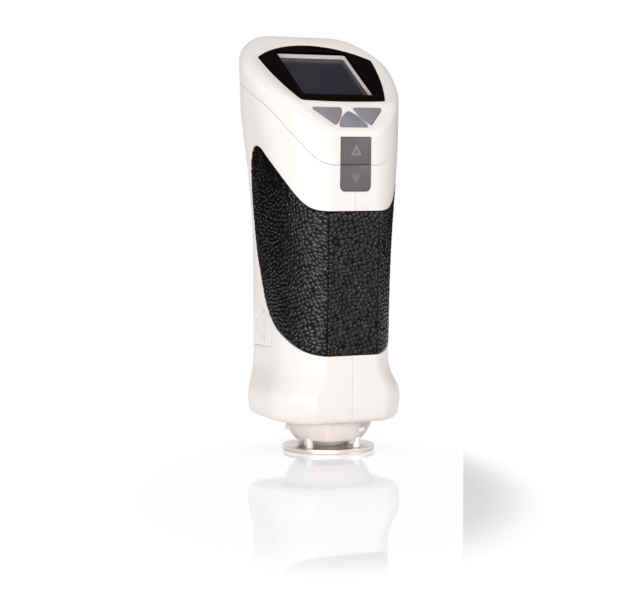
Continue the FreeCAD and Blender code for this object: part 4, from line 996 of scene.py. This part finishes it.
class INSTRUMENT_OT_keys(bpy.types.Operator):
    """Round the keys' edges and print the arrows on the two arrow keys"""

    bl_idname = "instrument.keys"
    bl_label = "Keys"

    def execute(self, context):
        settings = context.scene.instrument.keys
        for node in ("enter_key", "cancel_key", "save_key", "up_key", "down_key"):
            softened(node, settings.edge_round)
        side = settings.arrow_side
        self.arrow("up_key", 90.0, side, settings, settings.arrow_line)
        self.arrow("up_key", 90.0, side - settings.arrow_line, settings)
        self.arrow("down_key", -90.0, side, settings)
        return {"FINISHED"}

    def arrow(self, node, turn, side, settings, line=None):
        """A printed triangle on the key's front: filled, or only its outline of this width."""
        low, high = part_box(node)
        tree = cad_tree(node)
        start_clean()
        radius = side / math.sqrt(3)
        bpy.ops.mesh.primitive_circle_add(vertices=3, radius=radius, fill_type="NGON")
        piece = bpy.context.object
        piece.name = node + ("_outline" if line else "_arrow")
        steps = [lambda: bpy.ops.mesh.subdivide(number_cuts=3)]
        if line:
            steps = [
                lambda: bpy.ops.mesh.inset(thickness=line),
                lambda: bpy.ops.mesh.delete(type="ONLY_FACE"),
                lambda: bpy.ops.mesh.select_all(action="SELECT"),
                *steps,
            ]
        edit(piece, *steps)
        middle = Vector((0, 0, (low.z + high.z) / 2 - math.copysign(settings.arrow_side / 7, turn)))
        first = piece.data.vertices[0].co
        spin = Matrix.Rotation(math.radians(turn) - math.atan2(first.y, first.x), 3, "Z")
        for vert in piece.data.vertices:
            flat = spin @ vert.co
            start = Vector((flat.x, -0.1, middle.z + flat.y))
            vert.co = tree.ray_cast(start, Vector((0, 1, 0)), 0.2)[0]
            vert.co.y -= settings.arrow_print * (0.2 if line else 0.1)
        solid = piece.modifiers.new("print", "SOLIDIFY")
        solid.thickness = settings.arrow_print
        solid.offset = 1
        apply_modifiers(piece)
        edit(piece, face_outwards)
        settle(piece, node, "arrow_outline" if line else "arrow_print", stands_for=False)


class INSTRUMENT_OT_display(bpy.types.Operator):
    """Finish the display's pane, mask, frame and screen"""

    bl_idname = "instrument.display"
    bl_label = "Display"

    def execute(self, context):
        for node in ("display_window", "window_mask", "lcd_frame", "lcd_panel"):
            dress(node)
        return {"FINISHED"}


class INSTRUMENT_OT_measuring_head(bpy.types.Operator):
    """Finish the bowl, its pins, the port's ring and glass, and the locating plate on its posts"""

    bl_idname = "instrument.measuring_head"
    bl_label = "Measuring head"

    def execute(self, context):
        for node in ("sphere_lower", "port_ring", "port_window"):
            dress(node)
        for node in ("locating_plate", "locating_posts", "cap_pins", "plate_screws"):
            softened(node)
        return {"FINISHED"}


class INSTRUMENT_OT_fittings(bpy.types.Operator):
    """Finish the power knob and the sockets in the right side"""

    bl_idname = "instrument.fittings"
    bl_label = "Right side fittings"

    def execute(self, context):
        for node in ("power_knob", "usb_port", "dc_socket"):
            softened(node)
        return {"FINISHED"}


class INSTRUMENT_OT_inside(bpy.types.Operator):
    """Finish what the housing holds: boards, lamps, detector, battery and fasteners"""

    bl_idname = "instrument.inside"
    bl_label = "Inside"

    def execute(self, context):
        for node, piece in NODES.items():
            if not piece.hide_render:
                dress(node)
        return {"FINISHED"}


def white_where_seen(web, shader, share=1.0):
    """Show plain white to rays of the camera, of reflections and through glass."""
    path = web.add("LightPath").outputs
    direct = web.math("MAXIMUM", path["Is Camera Ray"], path["Is Glossy Ray"])
    direct = web.math("MAXIMUM", direct, path["Is Transmission Ray"])
    white = web.add("Emission", Color=(1.0, 1.0, 1.0, 1.0), Strength=1.0).outputs["Emission"]
    mix = web.chain("MixShader", {}, web.math("MULTIPLY", share, direct), shader, white)
    web.fill(web.tree.nodes["Material Output"].inputs["Surface"], mix.outputs["Shader"])


class INSTRUMENT_OT_stage(bpy.types.Operator):
    """Set up the floor, the lamps, the surroundings and the camera"""

    bl_idname = "instrument.stage"
    bl_label = "Studio"

    def execute(self, context):
        settings = context.scene.instrument.stage
        self.floor(settings.azimuth)
        self.surroundings(context.scene, settings)
        for setting, *place in LAMPS:
            self.lamp(setting.replace("_power", " lamp"), getattr(settings, setting), *place)
        dark = Finish("dark card", 0.8).set(Base_Color=(0.012, 0.012, 0.012, 1.0), Specular_IOR_Level=0.0)
        self.flag("left flag", dark.material, -84.0, -172.0)
        self.flag("right flag", dark.material, 80.0, 138.0)
        self.camera(context.scene, settings)
        return {"FINISHED"}

    def floor(self, azimuth):
        """A plain white glossy floor that mirrors the foot and is plain white further away."""
        finish = Finish("white floor", 0.05)
        finish.set(Base_Color=(0.95, 0.95, 0.95, 1.0), Coat_Weight=1.0, Coat_Roughness=0.02)
        turn = math.radians(azimuth)
        oval = finish.add(
            "Mapping",
            {"vector_type": "TEXTURE"},
            Vector=finish.place,
            Location=heading(turn) * 0.12,
            Rotation=(0, 0, turn),
            Scale=(0.5, 1.0, 1.0),
        )
        reach = finish.chain("VectorMath", {"operation": "LENGTH"}, oval.outputs["Vector"]).outputs["Value"]
        fade = finish.ramp(reach, "SMOOTHSTEP", From_Min=0.12, From_Max=0.19, To_Min=0.56)
        white_where_seen(finish, finish.surface.outputs["BSDF"], fade)
        start_clean()
        bpy.ops.mesh.primitive_plane_add(size=40.0, location=(0, 0, -0.02 * MM))
        plane = self.made("floor", finish.material)

    def surroundings(self, scene, settings):
        """A round white wall that is the background, and a plain dimmer light from above it."""
        world = bpy.data.worlds.new("studio")
        world.use_nodes = True
        scene.world = world
        light = world.node_tree.nodes["Background"]
        light.inputs["Color"].default_value = (1.0, 0.99, 0.985, 1.0)
        light.inputs["Strength"].default_value = settings.world
        finish = Finish("white wall")
        dim = finish.add("Emission", Color=(1.0, 1.0, 1.0, 1.0), Strength=settings.world)
        white_where_seen(finish, dim.outputs["Emission"])
        start_clean()
        bpy.ops.mesh.primitive_cylinder_add(
            vertices=128, radius=3.0, depth=1.2, end_fill_type="NOTHING", location=(0, 0, 0.6)
        )
        wall = self.made("wall", finish.material)

    def made(self, name, material):
        """Name the newest object, settle its place in its mesh and give it its material."""
        piece = bpy.context.object
        piece.name = name
        bpy.ops.object.transform_apply(location=True, rotation=True, scale=True)
        piece.data.materials.append(material)
        return piece

    def flag(self, name, material, start, end, distance=0.35, foot=0.045, height=1.6):
        """A dark card beside the instrument that the camera sees only in the leather and the floor."""
        start_clean()
        bpy.ops.mesh.primitive_plane_add(size=1.0)
        card = self.made(name, material)
        ends = [heading(math.radians(azimuth)) * distance + Vector((0, 0, foot)) for azimuth in (start, end)]
        tops = [end + Vector((0, 0, height)) for end in ends]
        for vert, corner in zip(card.data.vertices, ends + tops):
            vert.co = corner
        card.visible_camera = False
        card.visible_diffuse = False
        card.visible_shadow = False

    def lamp(self, name, energy, size, azimuth, elevation, distance, height=AIM, beam=BEAM, mirrored=True):
        """A rectangular soft lamp that looks at the instrument's axis at this height."""
        toward = heading(math.radians(azimuth), math.radians(elevation))
        data = bpy.data.lights.new(name, "AREA")
        data.energy = energy
        data.shape = "RECTANGLE"
        data.size, data.size_y = size
        data.spread = math.radians(beam)
        lamp = bpy.data.objects.new(name, data)
        lamp.location = Vector((0, 0, height)) + toward * distance
        lamp.rotation_euler = toward.to_track_quat("Z", "Y").to_euler()
        lamp.visible_glossy = mirrored
        bpy.context.scene.collection.objects.link(lamp)

    def camera(self, scene, settings):
        """The photograph's camera: level distance, height, pitch and a small step to the left."""
        turn = math.radians(settings.azimuth)
        out = heading(turn)
        right = Vector((math.cos(turn), math.sin(turn), 0))
        data = bpy.data.cameras.new("camera")
        data.lens = settings.lens
        data.sensor_width = 36.0
        camera = bpy.data.objects.new("camera", data)
        camera.location = out * settings.distance - right * settings.offset + Vector((0, 0, settings.height))
        camera.rotation_euler = (math.radians(90.0 - settings.pitch), 0, turn)
        scene.collection.objects.link(camera)
        scene.camera = camera
        scene.view_settings.view_transform = "Standard"


OPERATORS = (
    INSTRUMENT_OT_shell,
    INSTRUMENT_OT_leather,
    INSTRUMENT_OT_keys,
    INSTRUMENT_OT_display,
    INSTRUMENT_OT_measuring_head,
    INSTRUMENT_OT_fittings,
    INSTRUMENT_OT_inside,
    INSTRUMENT_OT_stage,
)


class INSTRUMENT_PT_panel(bpy.types.Panel):
    """Lists the instrument's pieces in the sidebar"""

    bl_idname = "INSTRUMENT_PT_panel"
    bl_label = "Instrument"
    bl_space_type = "VIEW_3D"
    bl_region_type = "UI"
    bl_category = "Instrument"

    def draw(self, context):
        for operator in OPERATORS:
            self.layout.operator(operator.bl_idname)


CLASSES = (
    InstrumentLeather,
    InstrumentKeys,
    InstrumentColours,
    InstrumentStage,
    InstrumentSettings,
    *OPERATORS,
    INSTRUMENT_PT_panel,
)


def register():
    """Register the classes and the settings."""
    for item in CLASSES:
        bpy.utils.register_class(item)
    bpy.types.Scene.instrument = PointerProperty(type=InstrumentSettings)


def unregister():
    """Take the settings and the classes away again."""
    del bpy.types.Scene.instrument
    for item in reversed(CLASSES):
        bpy.utils.unregister_class(item)


def main():
    """Make every piece in order."""
    register()
    bpy.ops.instrument.shell()
    bpy.ops.instrument.leather()
    bpy.ops.instrument.keys()
    bpy.ops.instrument.display()
    bpy.ops.instrument.measuring_head()
    bpy.ops.instrument.fittings()
    bpy.ops.instrument.inside()
    bpy.ops.instrument.stage()


if __name__ == "__main__":
    main()
